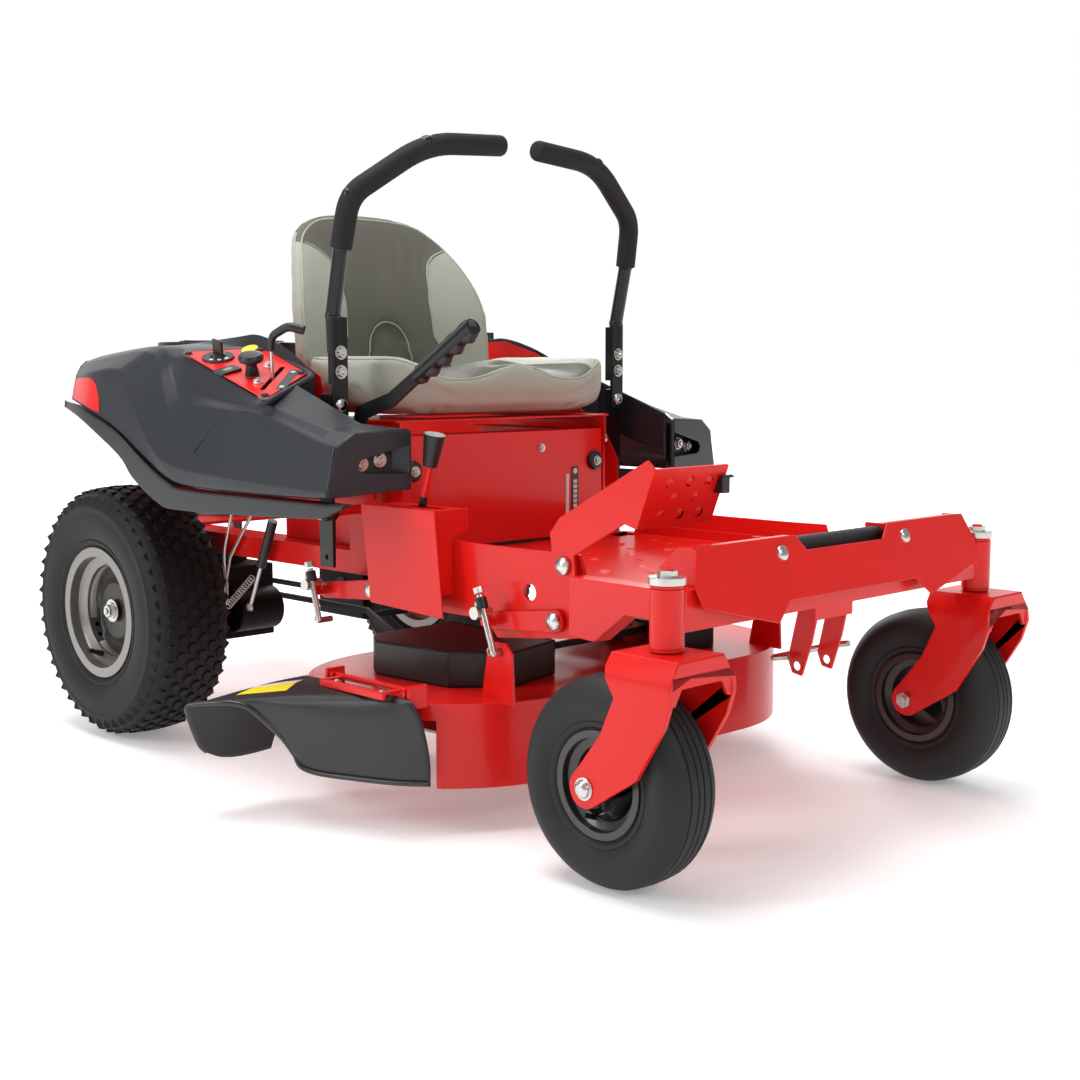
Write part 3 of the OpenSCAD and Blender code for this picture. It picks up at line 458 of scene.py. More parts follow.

# Painted black steel: steering arms and levers and the brake lever, with clear gloss on the tube. The
# foot bar has a black rubber sleeve, and the bolts through the levers are zinc plated.
black_paint = powder_coat("black_powder_coat", "black_paint", (0.006, 0.006, 0.0065), 0.32, 0.25)
dress("control_arm_right control_arm_left lever_right lever_left brake_lever", black_paint, 0.7)
foot_rubber = rubber("foot_bar_sleeve", "black_paint", (0.022, 0.023, 0.025), 0.5)
dress("foot_bar", foot_rubber, 1.5, 30)

for side, sign in (("right", -1), ("left", 1)):
    lever_bolts = bmesh.new()
    front = Vector((0, -1, 0))
    for z in (660, 690):
        place = at(sign * 320, -567, z)
        disc(lever_bolts, place, front, 11, 1.6)
        disc(lever_bolts, place + front * 0.0016, front, 8.6, 5, sides=6)
        disc(lever_bolts, place + front * 0.0066, front, 4.2, 3, 3.6)
    dome(lever_bolts, at(sign * 320, -567, 608), front, 11, 6)
    finish_piece(f"lever_bolts_{side}", lever_bolts, zinc, f"lever_{side}", 0.3)

# Foam grips: closed-cell sleeves pushed over the bent tube ends, matt, with a fine open grain.
foam = rubber("foam_grip", "foam_grip", (0.012, 0.012, 0.013), 0.72, 0.0004)

# Brake grip: a moulded rubber handle pushed over the flat lever's end, waved underneath for the
# fingers.
grip_rubber = rubber("ribbed_grip", "foam_grip", (0.03, 0.032, 0.036), 0.5)


def pipe(shape, points, r, sides=20, caps=True):
    """A round bar along points, as rings bridged end to end. r is a radius in mm, or one for each."""
    rings = []
    for i, point in enumerate(points):
        before, after = points[max(i - 1, 0)], points[min(i + 1, len(points) - 1)]
        radius = (r[i] if isinstance(r, list) else r) / 1000
        made = bmesh.ops.create_circle(shape, cap_ends=False, segments=sides, radius=radius)
        facing = (after - before).to_track_quat("Z", "Y").to_matrix().to_4x4()
        bmesh.ops.transform(shape, matrix=Matrix.Translation(point) @ facing, verts=made["verts"])
        rings.append(made["verts"])
    for first, second in zip(rings, rings[1:]):
        lines = [e for e in shape.edges if set(e.verts) <= set(first) or set(e.verts) <= set(second)]
        bmesh.ops.bridge_loops(shape, edges=lines)
    if caps:
        for ring_end in (rings[0], rings[-1]):
            shape.faces.new(ring_end)


def curve_through(points, bends=8, reach=0.3):
    """Points with each corner rounded: reach is the share of the shorter leg given to the bend."""
    path = [points[0]]
    for before, corner, after in zip(points, points[1:], points[2:]):
        cut = min((before - corner).length, (after - corner).length) * reach
        start = corner + (before - corner).normalized() * cut
        end = corner + (after - corner).normalized() * cut
        for k in range(bends + 1):
            t = k / bends
            path.append(start * (1 - t) ** 2 + corner * 2 * t * (1 - t) + end * t * t)
    return path + [points[-1]]


GRIP_LINE = [(326, -579, 849), (320, -595, 929), (193, -630, 1016), (38, -637.6, 1025.6)]
for side, sign in (("right", -1), ("left", 1)):
    sleeve = bmesh.new()
    line = curve_through([at(sign * x, y, z) for x, y, z in GRIP_LINE], 10, 0.34)
    end = (line[-1] - line[-2]).normalized()
    tip = [line[-1] - end * back for back in (0.006, 0.002, 0)]
    line = [line[0], line[0].lerp(line[1], 0.02)] + line[1:-1] + tip
    sizes = [15.2] + [17.4] * (len(line) - 4) + [17.2, 15.8, 12.8]
    pipe(sleeve, line, sizes, 28)
    finish_piece(f"grip_{side}_sleeve", sleeve, foam, f"lever_{side}", 0, (f"grip_{side}",), 60)


def squared(value, power=0.6):
    """Draws a sine or cosine out towards its ends, which squares a round ring."""
    return math.copysign(abs(value) ** power, value)


handle = bmesh.new()
low, high = at(-293, -724, 654.2), at(-293, -845, 727)
under = Vector((0, -math.sin(math.radians(31)), -math.cos(math.radians(31))))
length = 30
rings = []
for k in range(length + 1):
    t = k / length
    wave = 2.4 * math.cos(t * math.tau * 4.5) if 0.06 < t < 0.94 else 0.0
    middle = low.lerp(high, t) + under * wave * 0.0006
    half = 9.6 if 0 < k < length else 7.4
    deep = (15.0 if 0 < k < length else 11.0) + wave
    across = Vector((1, 0, 0))
    angles = [math.tau * j / 24 for j in range(24)]
    rings.append([middle + (across * half * squared(math.cos(a)) + under * deep * squared(math.sin(a))) / 1000
                  for a in angles])
last = None
for ring in rings:
    points = [handle.verts.new(p) for p in ring]
    chain = [handle.edges.new(pair) for pair in zip(points, points[1:] + points[:1])]
    if last:
        bmesh.ops.bridge_loops(handle, edges=last + chain)
    last = chain
bmesh.ops.holes_fill(handle, edges=handle.edges)
bmesh.ops.recalc_face_normals(handle, faces=handle.faces)
finish_piece("brake_grip", handle, grip_rubber, "brake", 0, (), 60)

# Fuel tank and battery case: moulded in black plastic with well rounded edges.
dress("fuel_tank battery", black_plastic, 3.0, 40)

# Cast and pressed metal: the engine, the transaxles, the pulleys, the spindles and the blades.
cast = plated("cast_aluminium", "cast_metal", (0.22, 0.22, 0.225), 0.5)
dress("engine_block", cast, 1.5)
dark_cast = plated("dark_casting", "cast_metal", (0.02, 0.02, 0.021), 0.5)
dress("transaxle_right transaxle_left", dark_cast, 3.0)
dress("spindle_right spindle_left crank_pulley deck_hangers", zinc, 0.5)
blade_steel = plated("blade_steel", "blade_steel", (0.28, 0.275, 0.27), 0.38)
dress("blade_right blade_left", blade_steel, 0.6)
dress("engine_shroud", black_plastic, 3.0)
belt_rubber = rubber("belt_rubber", "belt_rubber", (0.015, 0.015, 0.015), 0.7)
dress("mower_belt", belt_rubber, 1.0)

# Side pods. Each is one moulded shell in charcoal plastic with sculpted creases, over a separate
# flared lip, and a plain red panel closes its rear corner. A red steel fender stands inside it.
def moulded(name, slot, colour, rough):
    skin = Finish(name, slot, colour, rough, {"Specular IOR Level": 0.5})
    cloud, grain = skin.noise(5, 2), skin.cells(1500)
    skin.tint(cloud * 0.8 + grain * 0.2, 0.88, 1.12)
    skin.rough(rough + (cloud - 0.5) * 0.08 + (grain - 0.5) * 0.1)
    skin.bump(grain, 0.00012, 0.45)
    return skin


pod_plastic = moulded("pod_charcoal", "pod_plastic", (0.017, 0.020, 0.0245), 0.34)
flare_plastic = moulded("flare_charcoal", "flare_plastic", (0.012, 0.0135, 0.016), 0.38)


def smooth_line(points, steps, straight_from):
    """A line through points, curved up to the point numbered straight_from."""
    line = []
    for i in range(len(points) - 1):
        a, b = points[i], points[i + 1]
        before = points[i - 1] if i else a
        after = points[i + 2] if i + 2 < len(points) else b
        if i >= straight_from:
            line.append(a)
            continue
        if i == straight_from - 1:
            after = b
        for k in range(steps):
            t = k / steps
            line.append(0.5 * (2 * a + (b - before) * t + (2 * before - 5 * a + 4 * b - after) * t * t
                               + (3 * a - before - 3 * b + after) * t ** 3))
    return line + [points[-1]]


def lofted(shape, lines):
    """Bridges the stations of a set of lines, each station an open chain across the lines."""
    last = None
    for station in zip(*lines):
        points = [shape.verts.new(p) for p in station]
        chain = [shape.edges.new(pair) for pair in zip(points, points[1:])]
        if last:
            bmesh.ops.bridge_loops(shape, edges=last + chain)
        last = chain


POD_LINES = [
    [(420, 104, 609), (446, 4, 594), (450, -100, 563), (451, -190, 520), (451, -262, 486), (451, -330, 475),
     (450, -470, 473), (450, -500, 473), (448, -655, 474), (446, -692, 476)],
    [(408, 107, 652), (431, 20, 658), (437, -94, 662), (443, -142, 612), (449, -199, 545), (450, -276, 506),
     (450, -431, 496), (449, -470, 495), (448, -655, 488), (447, -694, 487)],
    [(400, 105, 668), (411, 20, 680), (403, -132, 695), (416, -188, 664), (428, -228, 622), (439, -282, 554),
     (443, -373, 514), (443, -420, 510), (444, -650, 494), (445, -694, 492)],
    [(390, 104, 677), (389, 20, 690), (387, -143, 703), (402, -198, 684), (416, -250, 620), (420, -330, 605),
     (423, -464, 600), (425, -514, 592), (429, -655, 556), (431, -694, 551)],
    [(380, 103, 679), (380, 20, 691), (379, -153, 704), (397, -212, 684), (406, -264, 640), (409, -333, 617),
     (414, -470, 604), (417, -520, 594), (421, -655, 562), (422, -696, 557)],
    [(360, 103, 682), (362, 20, 693), (364, -165, 704), (386, -224, 689), (393, -268, 678), (401, -345, 656),
     (416, -484, 618), (410, -512, 608), (405, -655, 574), (400, -702, 571)],
    [(300, 102, 689), (300, 20, 697), (298, -110, 708), (298, -240, 702), (296, -292, 695), (297, -368, 675),
     (302, -464, 647), (357, -488, 638), (357, -655, 583), (312, -712, 575)],
    [(288, 102, 691), (288, 20, 698), (288, -110, 710), (288, -240, 721), (288, -302, 723), (292, -385, 700),
     (297, -470, 659), (351, -488, 643), (351, -655, 584), (303, -715, 574)],
    [(288, 102, 660), (288, 20, 660), (288, -110, 660), (288, -240, 660), (288, -302, 655), (292, -385, 630),
     (297, -470, 590), (351, -488, 560), (351, -655, 510), (303, -715, 490)],
]
FLARE_LINES = [
    [(428, 100, 604), (428, 4, 590), (430, -100, 560), (430, -190, 514), (430, -267, 480), (430, -330, 470),
     (430, -500, 470), (430, -700, 470), (430, -734, 470)],
    [(434, 102, 606), (453, 4, 590), (455, -100, 559), (455.5, -190, 511), (455.5, -267, 478),
     (455.5, -322, 468), (455.5, -500, 467), (455.5, -700, 467), (452, -737, 469)],
    [(434, 104, 593), (454, 6, 572), (455.5, -117, 515), (455.5, -161, 479), (455.5, -239, 442),
     (455.5, -296, 434), (455.5, -500, 438), (455.5, -689, 446), (452, -738, 465)],
    [(426, 103, 594), (440, 6, 573), (440, -117, 517), (440, -161, 481), (440, -239, 444), (440, -296, 436),
     (440, -500, 440), (440, -689, 448), (440, -734, 466)],
]


def face_way(shape, way):
    """Gives an open sheet's faces one side, the side that looks along way."""
    bmesh.ops.recalc_face_normals(shape, faces=shape.faces)
    if sum(f.normal.dot(way) * f.calc_area() for f in shape.faces) < 0:
        bmesh.ops.reverse_faces(shape, faces=shape.faces)


def shell(name, lines, steps, straight_from, finish, wall, edge, node, side):
    shape = bmesh.new()
    lofted(shape, [smooth_line(spots(line, side), steps, straight_from) for line in lines])
    face_way(shape, Vector((side, 0, 0)))
    made = finish_piece(name, shape, finish, "chassis", edge, (node,), 9)
    thickness = made.modifiers.new("wall", "SOLIDIFY")
    thickness.thickness = wall
    thickness.offset = -1
    made.modifiers.move(2, 0)
    made.modifiers["edge"].segments = 3
    return made


for side, name in ((-1, "right"), (1, "left")):
    shell(f"pod_{name}_shell", POD_LINES, 4, 6, pod_plastic, 0.003, 3.4, f"pod_{name}", side)
    shell(f"flare_{name}_lip", FLARE_LINES, 5, 6, flare_plastic, 0.0025, 2.4, f"flare_{name}", side)

    # rear end and front end, the front with a notch that leaves two bolts open
    ends = bmesh.new()
    rear_cap = [line[0] for line in POD_LINES]
    ends.faces.new([ends.verts.new(at(side * x, y - 0.5, z)) for x, y, z in rear_cap])
    corner_out, corner_in = Vector((446, -693, 0)), Vector((303, -716, 0))
    notch = [(0, 476), (143, 484), (143, 508), (62, 511), (54, 516), (52, 523), (58, 531), (143, 552),
             (143, 574), (46, 571), (24, 557), (15, 551), (0, 491)]
    along = (corner_in - corner_out).normalized()
    places = [at(side * (corner_out + along * t).x, (corner_out + along * t).y, z) for t, z in notch]
    ends.faces.new([ends.verts.new(p) for p in places])
    bmesh.ops.recalc_face_normals(ends, faces=ends.faces)
    bmesh.ops.solidify(ends, geom=ends.faces[:], thickness=0.003)
    finish_piece(f"pod_{name}_ends", ends, pod_plastic, "chassis", 1.6)

    # dark lining behind the notch, with its two bolts
    lining = bmesh.new()
    inner = spots([(437, -676, 480), (308, -696, 484), (308, -696, 568), (425, -676, 548)], side)
    lining.faces.new([lining.verts.new(p) for p in inner])
    bmesh.ops.solidify(lining, geom=lining.faces[:], thickness=0.002)
    finish_piece(f"pod_{name}_lining", lining, flare_plastic, "chassis", 0.6)
    studs = bmesh.new()
    for x, y, z in ((376, -686, 524), (345, -691, 529)):
        bolt(studs, at(side * x, y, z), (side * 0.16, -1, 0), 9)
    finish_piece(f"pod_{name}_bolts", studs, zinc, "chassis", 0.3)

    # inner fender
    fender = bmesh.new()
    outline = [(92, 560), (92, 684), (-110, 703), (-240, 714), (-300, 716), (-383, 694), (-468, 653),
               (-486, 600), (-560, 560), (-600, 500), (-600, 452), (92, 452)]
    fender.faces.new([fender.verts.new(at(side * 285.4, y, z)) for y, z in outline])
    bmesh.ops.recalc_face_normals(fender, faces=fender.faces)
    bmesh.ops.solidify(fender, geom=fender.faces[:], thickness=0.0012)
    finish_piece(f"inner_fender_{name}", fender, red, "chassis", 0.4)

    # red end panel, laid on the rear corner's two flats
    surface = []
    for low_line, high_line in zip(POD_LINES[:2], POD_LINES[1:3]):
        low_row, high_row = [smooth_line(spots(line, side), 4, 6) for line in (low_line, high_line)]
        surface += [(a, b, c, d) for a, b, c, d in zip(low_row, low_row[1:], high_row[1:], high_row)]
    tree = BVHTree.FromPolygons([tuple(p) for quad in surface for p in quad],
                                [tuple(range(4 * k, 4 * k + 4)) for k in range(len(surface))])
    low = [(100, 612), (72, 608), (44, 604), (16, 600), (-8, 595), (-28, 591), (-44, 589)]
    tall = [(98, 645), (72, 647), (44, 648), (16, 648), (-6, 645), (-22, 633), (-36, 613)]
    rows = []
    for share in (0, 0.25, 0.5, 0.75, 1):
        row = []
        for (y, z), (y_top, z_top) in zip(low, tall):
            spot = at(side * 500, y + (y_top - y) * share, z + (z_top - z) * share)
            hit = tree.ray_cast(spot, Vector((-side, 0, 0)))[0] or spot
            row.append(hit + Vector((side * 0.0012, 0, 0)))
        rows.append(row)
    end_panel = bmesh.new()
    lofted(end_panel, rows)
    face_way(end_panel, Vector((side, 0, 0)))
    bmesh.ops.solidify(end_panel, geom=end_panel.faces[:], thickness=0.0008)
    finish_piece(f"end_panel_{name}", end_panel, red, "chassis", 0.3)


def turned(shape, place, direction, profile, steps=32):
    """Turns a profile of (radius, height) pairs in mm about direction, standing on place."""
    before = set(shape.verts)
    points = [shape.verts.new((r / 1000, 0, h / 1000)) for r, h in profile]
    lines = [shape.edges.new(pair) for pair in zip(points, points[1:])]
    bmesh.ops.spin(shape, geom=points + lines, cent=(0, 0, 0), axis=(0, 0, 1), angle=math.tau, steps=steps,
                   use_merge=True)
    made = [v for v in shape.verts if v not in before]
    bmesh.ops.transform(shape, matrix=Matrix.Translation(place) @ turn_to(direction), verts=made)


# Cup holder in the left pod: a black cup with a raised rim and ribs inside.
black_satin = moulded("black_satin_plastic", "black_plastic", (0.008, 0.008, 0.009), 0.4)
cup = bmesh.new()
turned(cup, at(352, -386, 655), (0, 0, 1),
       [(38, -40), (41, 6), (47, 8), (48, 2), (45, -1), (42, -46), (0, -46), (0, -40)], 40)
for k in range(6):
    a = k * 1.047
    disc(cup, at(352 + 37 * math.cos(a), -386 + 37 * math.sin(a), 615), (0, 0, 1), 3, 40, 3, 12)
finish_piece("cup_holder", cup, black_satin, "chassis", 0.8)

# Control panel: red sheet with rounded corners on a black rim, black screws, the key's disc with
# three pale marks, an hour meter, a bellows under the blade switch, a slot plate and two posts.
PANEL = (Matrix.Translation(at(-350, -372, 667)) @ Matrix.Rotation(math.radians(-14), 4, "Y")
         @ Matrix.Rotation(math.radians(13.6), 4, "X") @ Matrix.Diagonal((0.001, 0.001, 0.001, 1)))
UPWARD = (PANEL.to_3x3() @ Vector((0, 0, 1))).normalized()


def on_panel(x, y, z=0.0):
    return PANEL @ Vector((x, y, z))


dress("control_panel", red, 0.8)
dress("ignition_key pto_knob fuel_cap lock_lever", black_satin, 1.2, 40)
stem = bmesh.new()
pipe(stem, [at(-297, -737, 474), at(-297, -751, 519)], 5.7, 20)
finish_piece("lock_stem_paint", stem, red, "lock_lever", 0, (), 60)

rim = bmesh.new()
corners = [(-45, 150), (-88, -146), (43, -103), (74, 63)]
path = curve_through([on_panel(x, y, -1) for x, y in corners + corners[:2]], 6, 0.16)[1:]
pipe(rim, path[:-7], [5.5] * len(path[:-7]), 12)
finish_piece("panel_rim", rim, pod_plastic, "chassis")

fixings = bmesh.new()
for x, y in ((-38, 126), (57, 52), (31, -86), (-72, -126)):
    disc(fixings, on_panel(x, y, 3.2), UPWARD, 7.4, 1.2, 7.2)
    turned(fixings, on_panel(x, y, 4.2), UPWARD, [(0, 3), (4.4, 2.2), (5, 0), (0, 0)], 20)
disc(fixings, on_panel(-17, 72, 3.2), UPWARD, 27, 3.4, 26)
turned(fixings, on_panel(-17, 72, 6.2), UPWARD, [(0, 5), (10.5, 4.6), (12, 3), (13, 0), (0, 0)], 32)
for k in range(5):
    wide = 11.5 - k * 0.5
    turned(fixings, on_panel(-27, -34, 3 + k * 2.6), UPWARD,
           [(wide, 0), (wide + 0.4, 0.9), (wide, 1.8), (9, 2.6), (9, 0)], 32)
finish_piece("panel_fittings", fixings, black_satin, "chassis", 0.5)


def flat_on_panel(name, points, low, high, finish, edge=0.4, turn=0.0, middle=(0, 0)):
    """A plate on the panel, from its outline about middle, turned by turn degrees."""
    shape = bmesh.new()
    c, s = math.cos(math.radians(turn)), math.sin(math.radians(turn))
    places = [(middle[0] + x * c - y * s, middle[1] + x * s + y * c) for x, y in points]
    face = shape.faces.new([shape.verts.new(on_panel(x, y, low)) for x, y in places])
    raised = bmesh.ops.extrude_face_region(shape, geom=[face])
    bmesh.ops.translate(shape, vec=UPWARD * (high - low) / 1000,
                        verts=[v for v in raised["geom"] if isinstance(v, bmesh.types.BMVert)])
    return finish_piece(name, shape, finish, "chassis", edge)


def rounded_box(half_x, half_y, r, steps=4):
    points = []
    for k, (sx, sy) in enumerate(((1, 1), (-1, 1), (-1, -1), (1, -1))):
        for j in range(steps + 1):
            angle = math.pi / 2 * (k + j / steps)
            points.append((sx * (half_x - r) + r * math.cos(angle), sy * (half_y - r) + r * math.sin(angle)))
    return points


def oval(half_x, half_y, steps=28):
    angles = [math.tau * k / steps for k in range(steps)]
    return [(half_x * math.cos(a), half_y * math.sin(a)) for a in angles]


def plain(name, slot, colour, rough):
    """A printed or moulded surface with a little unevenness."""
    made = Finish(name, slot, colour, rough)
    dust = made.noise(400, 3)
    made.tint(dust, 0.93, 1.05)
    made.rough(rough + (dust - 0.5) * 0.15)
    made.bump(dust, 0.00003, 0.3)
    return made


yellow = plain("yellow_label", None, (0.83, 0.67, 0.015), 0.42)
pale = plain("pale_print", None, (0.62, 0.62, 0.6), 0.45)
dark_print = plain("dark_print", None, (0.02, 0.02, 0.02), 0.4)
display = plain("grey_display", None, (0.23, 0.25, 0.2), 0.2)
flat_on_panel("panel_label", oval(21, 12), 4.6, 5.2, yellow, 0.1, 30, (44, 68))
flat_on_panel("hour_meter", rounded_box(20, 13, 3), 3.2, 7.5, black_satin, 0.9, 0, (-46, 6))
flat_on_panel("hour_meter_display", rounded_box(9, 5, 1), 7.5, 7.8, display, 0.1, 0, (-46, 6))
flat_on_panel("throttle_strip", rounded_box(45, 8, 1.5), 3.2, 3.7, dark_print, 0.1, 36, (-2, -94))
for k, (x, y) in enumerate(((25, -73), (-30, -114))):
    flat_on_panel(f"throttle_mark_{k}", oval(4.6, 4), 3.7, 3.9, pale, 0.05, 36, (x, y))
for k, angle in enumerate((200, 240, 280)):
    spot = (-17 + 19 * math.cos(math.radians(angle)), 72 + 19 * math.sin(math.radians(angle)))
    flat_on_panel(f"key_mark_{k}", oval(3.6, 3.6), 6.6, 6.9, pale, 0.05, 0, spot)
posts = bmesh.new()
for x, y in ((15, -22), (-44, -70)):
    bolt(posts, on_panel(x, y, 3.2), UPWARD, 7)
finish_piece("panel_posts", posts, zinc, "chassis", 0.3)

# Throttle: a zinc rod with a moulded black grip bent over its top.
throttle = bmesh.new()
local = lambda x, y, z: on_panel(-15 + x * 0.559 + y * 0.829, -71 - x * 0.829 + y * 0.559, z)
pipe(throttle, [local(0, 0, -26), local(0, 4, 52)], [2.8, 2.8], 16)
finish_piece("throttle_rod", throttle, zinc, "throttle", 0, ("throttle_lever",))
throttle = bmesh.new()
tip = curve_through([local(0, 4, 48), local(3, 4, 72), local(32, 2, 91), local(58, 0, 86)], 8, 0.4)
sizes = [5.6 + 2.0 * (k / (len(tip) - 1)) ** 0.7 for k in range(len(tip))]
pipe(throttle, tip, sizes, 20)
finish_piece("throttle_grip", throttle, black_satin, "throttle", 0, (), 60)

# Seat: two foam pads covered in vinyl, a dark centre between light sides. Each pad's cover is
# filled by a short cloth simulation that is held along its seams, so it swells between them.
def vinyl(name, light, dark, rough=0.58):
    skin = Finish(name, "seat_vinyl", light, rough, {"Specular IOR Level": 0.22})
    zone = skin.node("Attribute", {"attribute_name": "panel"}, out="Fac").above(-0.5, 1.0)
    cloud, grain = skin.noise(14, 3), skin.cells(900)
    shade = skin.blend(zone, (*(c * 0.92 for c in dark), 1), (*(c * 0.95 for c in light), 1))
    high = skin.blend(zone, (*(c * 1.08 for c in dark), 1), (*(c * 1.05 for c in light), 1))
    skin.feed(skin.shader.inputs["Base Color"], skin.blend(cloud, shade, high))
    skin.rough(rough + (grain - 0.5) * 0.12 + (cloud - 0.5) * 0.08)
    skin.bump(grain, 0.0002, 0.5)
    return skin


LIGHT_VINYL, DARK_VINYL = (0.37, 0.385, 0.32), (0.120, 0.117, 0.096)
seat_cover = vinyl("seat_vinyl", LIGHT_VINYL, DARK_VINYL)
piping_vinyl = vinyl("piping_vinyl", LIGHT_VINYL, LIGHT_VINYL)
dress("seat_plate", red, 0.5)


def between(x, table):
    """The value at x in a table of (x, value), in straight lines."""
    for (a, p), (b, q) in zip(table, table[1:]):
        if x <= b:
            return p + (q - p) * max(0.0, x - a) / (b - a)
    return table[-1][1]


def soft_step(low, high, x):
    t = min(1.0, max(0.0, (x - low) / (high - low)))
    return t * t * (3 - 2 * t)


def relax(shape, rounds, factor):
    for _ in range(rounds):
        bmesh.ops.smooth_vert(shape, verts=shape.verts, factor=factor, use_axis_x=True, use_axis_y=True,
                              use_axis_z=True)


def pad(name, rings, seams, zone, swell, rounds):
    """A stuffed pad from closed rings of (x, y, z) mm: remeshed, filled, then piped along its seams.

    zone gives mm into the light vinyl at a place, and swell is the most that the filling lifts."""
    shape = bmesh.new()
    lofted(shape, list(zip(*[[at(*p) for p in ring + ring[:1]] for ring in rings])))
    bmesh.ops.remove_doubles(shape, verts=shape.verts, dist=1e-5)
    bmesh.ops.holes_fill(shape, edges=shape.edges)
    bmesh.ops.recalc_face_normals(shape, faces=shape.faces)
    mesh = bpy.data.meshes.new(name)
    shape.to_mesh(mesh)
    shape.free()
    block = bpy.data.objects.new(name + "_fill", mesh)
    scene.collection.objects.link(block)
    remesh = block.modifiers.new("even", "REMESH")
    remesh.mode, remesh.voxel_size = "VOXEL", 0.0055
    block.data = bpy.data.meshes.new_from_object(block.evaluated_get(bpy.context.evaluated_depsgraph_get()))
    block.modifiers.clear()
    shape = bmesh.new()
    shape.from_mesh(block.data)
    relax(shape, rounds, 0.5)
    shape.to_mesh(block.data)
    rest = [v.co.copy() for v in shape.verts]
    tree = BVHTree.FromBMesh(shape)
    lines = [[tree.find_nearest(at(*p))[0] for p in seam] for seam in seams]
    shape.free()
    near = KDTree(sum(len(line) for line in lines))
    for k, point in enumerate(point for line in lines for point in line):
        near.insert(point, k)
    near.balance()
    held = block.vertex_groups.new(name="held")
    for k, point in enumerate(rest):
        gap = near.find(point)[2]
        held.add([k], max(0.0, min(1.0, 1.5 - gap / 0.009)), "REPLACE")
    cover = block.modifiers.new("cover", "CLOTH")
    cover.settings.vertex_group_mass = "held"
    cover.settings.use_pressure = True
    cover.settings.uniform_pressure_force = 4
    cover.settings.quality = 5
    cover.settings.mass = 0.4
    cover.settings.tension_stiffness = cover.settings.compression_stiffness = 25
    cover.settings.bending_stiffness = 3
    cover.settings.effector_weights.gravity = 0
    cover.point_cache.frame_end = 20
    for number in range(1, 21):
        scene.frame_set(number)
    filled = block.evaluated_get(bpy.context.evaluated_depsgraph_get()).to_mesh()
    moves = [v.co - rest[k] for k, v in enumerate(filled.vertices)]
    block.modifiers.clear()
    for v, start, move in zip(block.data.vertices, rest, moves):
        v.co = start + move * min(1.0, swell / 1000 / max(move.length, 1e-9))
    scene.frame_set(1)
    shape = bmesh.new()
    shape.from_mesh(block.data)
    bpy.data.objects.remove(block)
    relax(shape, 2, 0.4)
    tree = BVHTree.FromBMesh(shape)
    made = finish_piece(name, shape, seat_cover, "seat", 0, ("seat",) if name == "seat_cushion" else (), 180)
    tones = made.data.attributes.new("panel", "FLOAT", "POINT")
    tones.data.foreach_set("value", [zone(*((v.co - at(0, 0, 0)) * 1000)) for v in made.data.vertices])
    smoother = made.modifiers.new("smooth", "SUBSURF")
    smoother.levels = smoother.render_levels = 1
    for k, seam in enumerate(seams):
        points = []
        for p in seam:
            spot, normal = tree.find_nearest(at(*p))[:2]
            points.append(spot - normal * 0.0002)
        cord = bmesh.new()
        pipe(cord, points, 1.9, 8)
        finish_piece(f"{name}_seam_{k}", cord, piping_vinyl, "seat", 0, (), 60)


def cushion_outline(share, drop):
    ring = []
    for k in range(112):
        c, s = math.cos(math.tau * k / 112), math.sin(math.tau * k / 112)
        x = 262 * math.copysign(abs(c) ** 0.42, c)
        y = 165 * math.copysign(abs(s) ** 0.42, s)
        x *= 1 - 0.13 * soft_step(0, 165, y)
        ring.append((x * share, -472 + y * share, drop))
    return ring


def cushion_top(x, y):
    bolster = 34 * soft_step(140, 232, abs(x)) * soft_step(-690, -590, y)
    ridge = 25 * math.exp(-(x / 62) ** 2) * soft_step(-400, -600, y)
    return 652 + bolster + ridge + 8 * soft_step(-420, -320, y)


rings = [cushion_outline(share, z)
         for share, z in ((0.3, 598), (0.85, 598), (0.955, 601), (0.99, 615), (1.0, 634))]
for share in (0.995, 0.95, 0.9, 0.84, 0.76, 0.66, 0.55, 0.42, 0.28, 0.12):
    fall = 9 * soft_step(0.93, 1.0, share)
    rings.append([(x, y, cushion_top(x, y) - fall) for x, y, _ in cushion_outline(share, 0)])
edge = [(x, y, cushion_top(x, y) - 3) for x, y, _ in cushion_outline(0.975, 0)]
front_seam = edge[50:] + edge[:7]


def side_seam(y):
    """How far out the seam between the dark top and the light side runs."""
    return 196 - 8 * soft_step(-600, -420, y)


side_seams = [[(s * side_seam(y), y, cushion_top(s * 192, y)) for y in range(-628, -318, 8)]
              for s in (-1, 1)]


def cushion_zone(x, y, z):
    front = -472 - 165 * max(0.0, 1 - (abs(x) / 262) ** 4.76) ** 0.21
    return max(abs(x) - side_seam(y), front + 8 - y, 632 - z)


pad("seat_cushion", rings, [front_seam] + side_seams, cushion_zone, 7, 5)

BACK_EDGE = [(0, 628), (120, 628), (190, 636), (217, 668), (220, 720), (219, 770), (209, 812), (194, 852),
             (172, 893), (146, 918), (112, 935), (60, 942), (0, 943)]
half = smooth_line([Vector((x, 0, z)) for x, z in BACK_EDGE], 4, 99)
BACK_RING = [(p.x, p.z) for p in half] + [(-p.x, p.z) for p in half[-2:0:-1]]
BACK_LEAN = [(620, -288), (691, -277), (768, -268), (810, -258), (850, -241), (893, -222), (943, -206)]


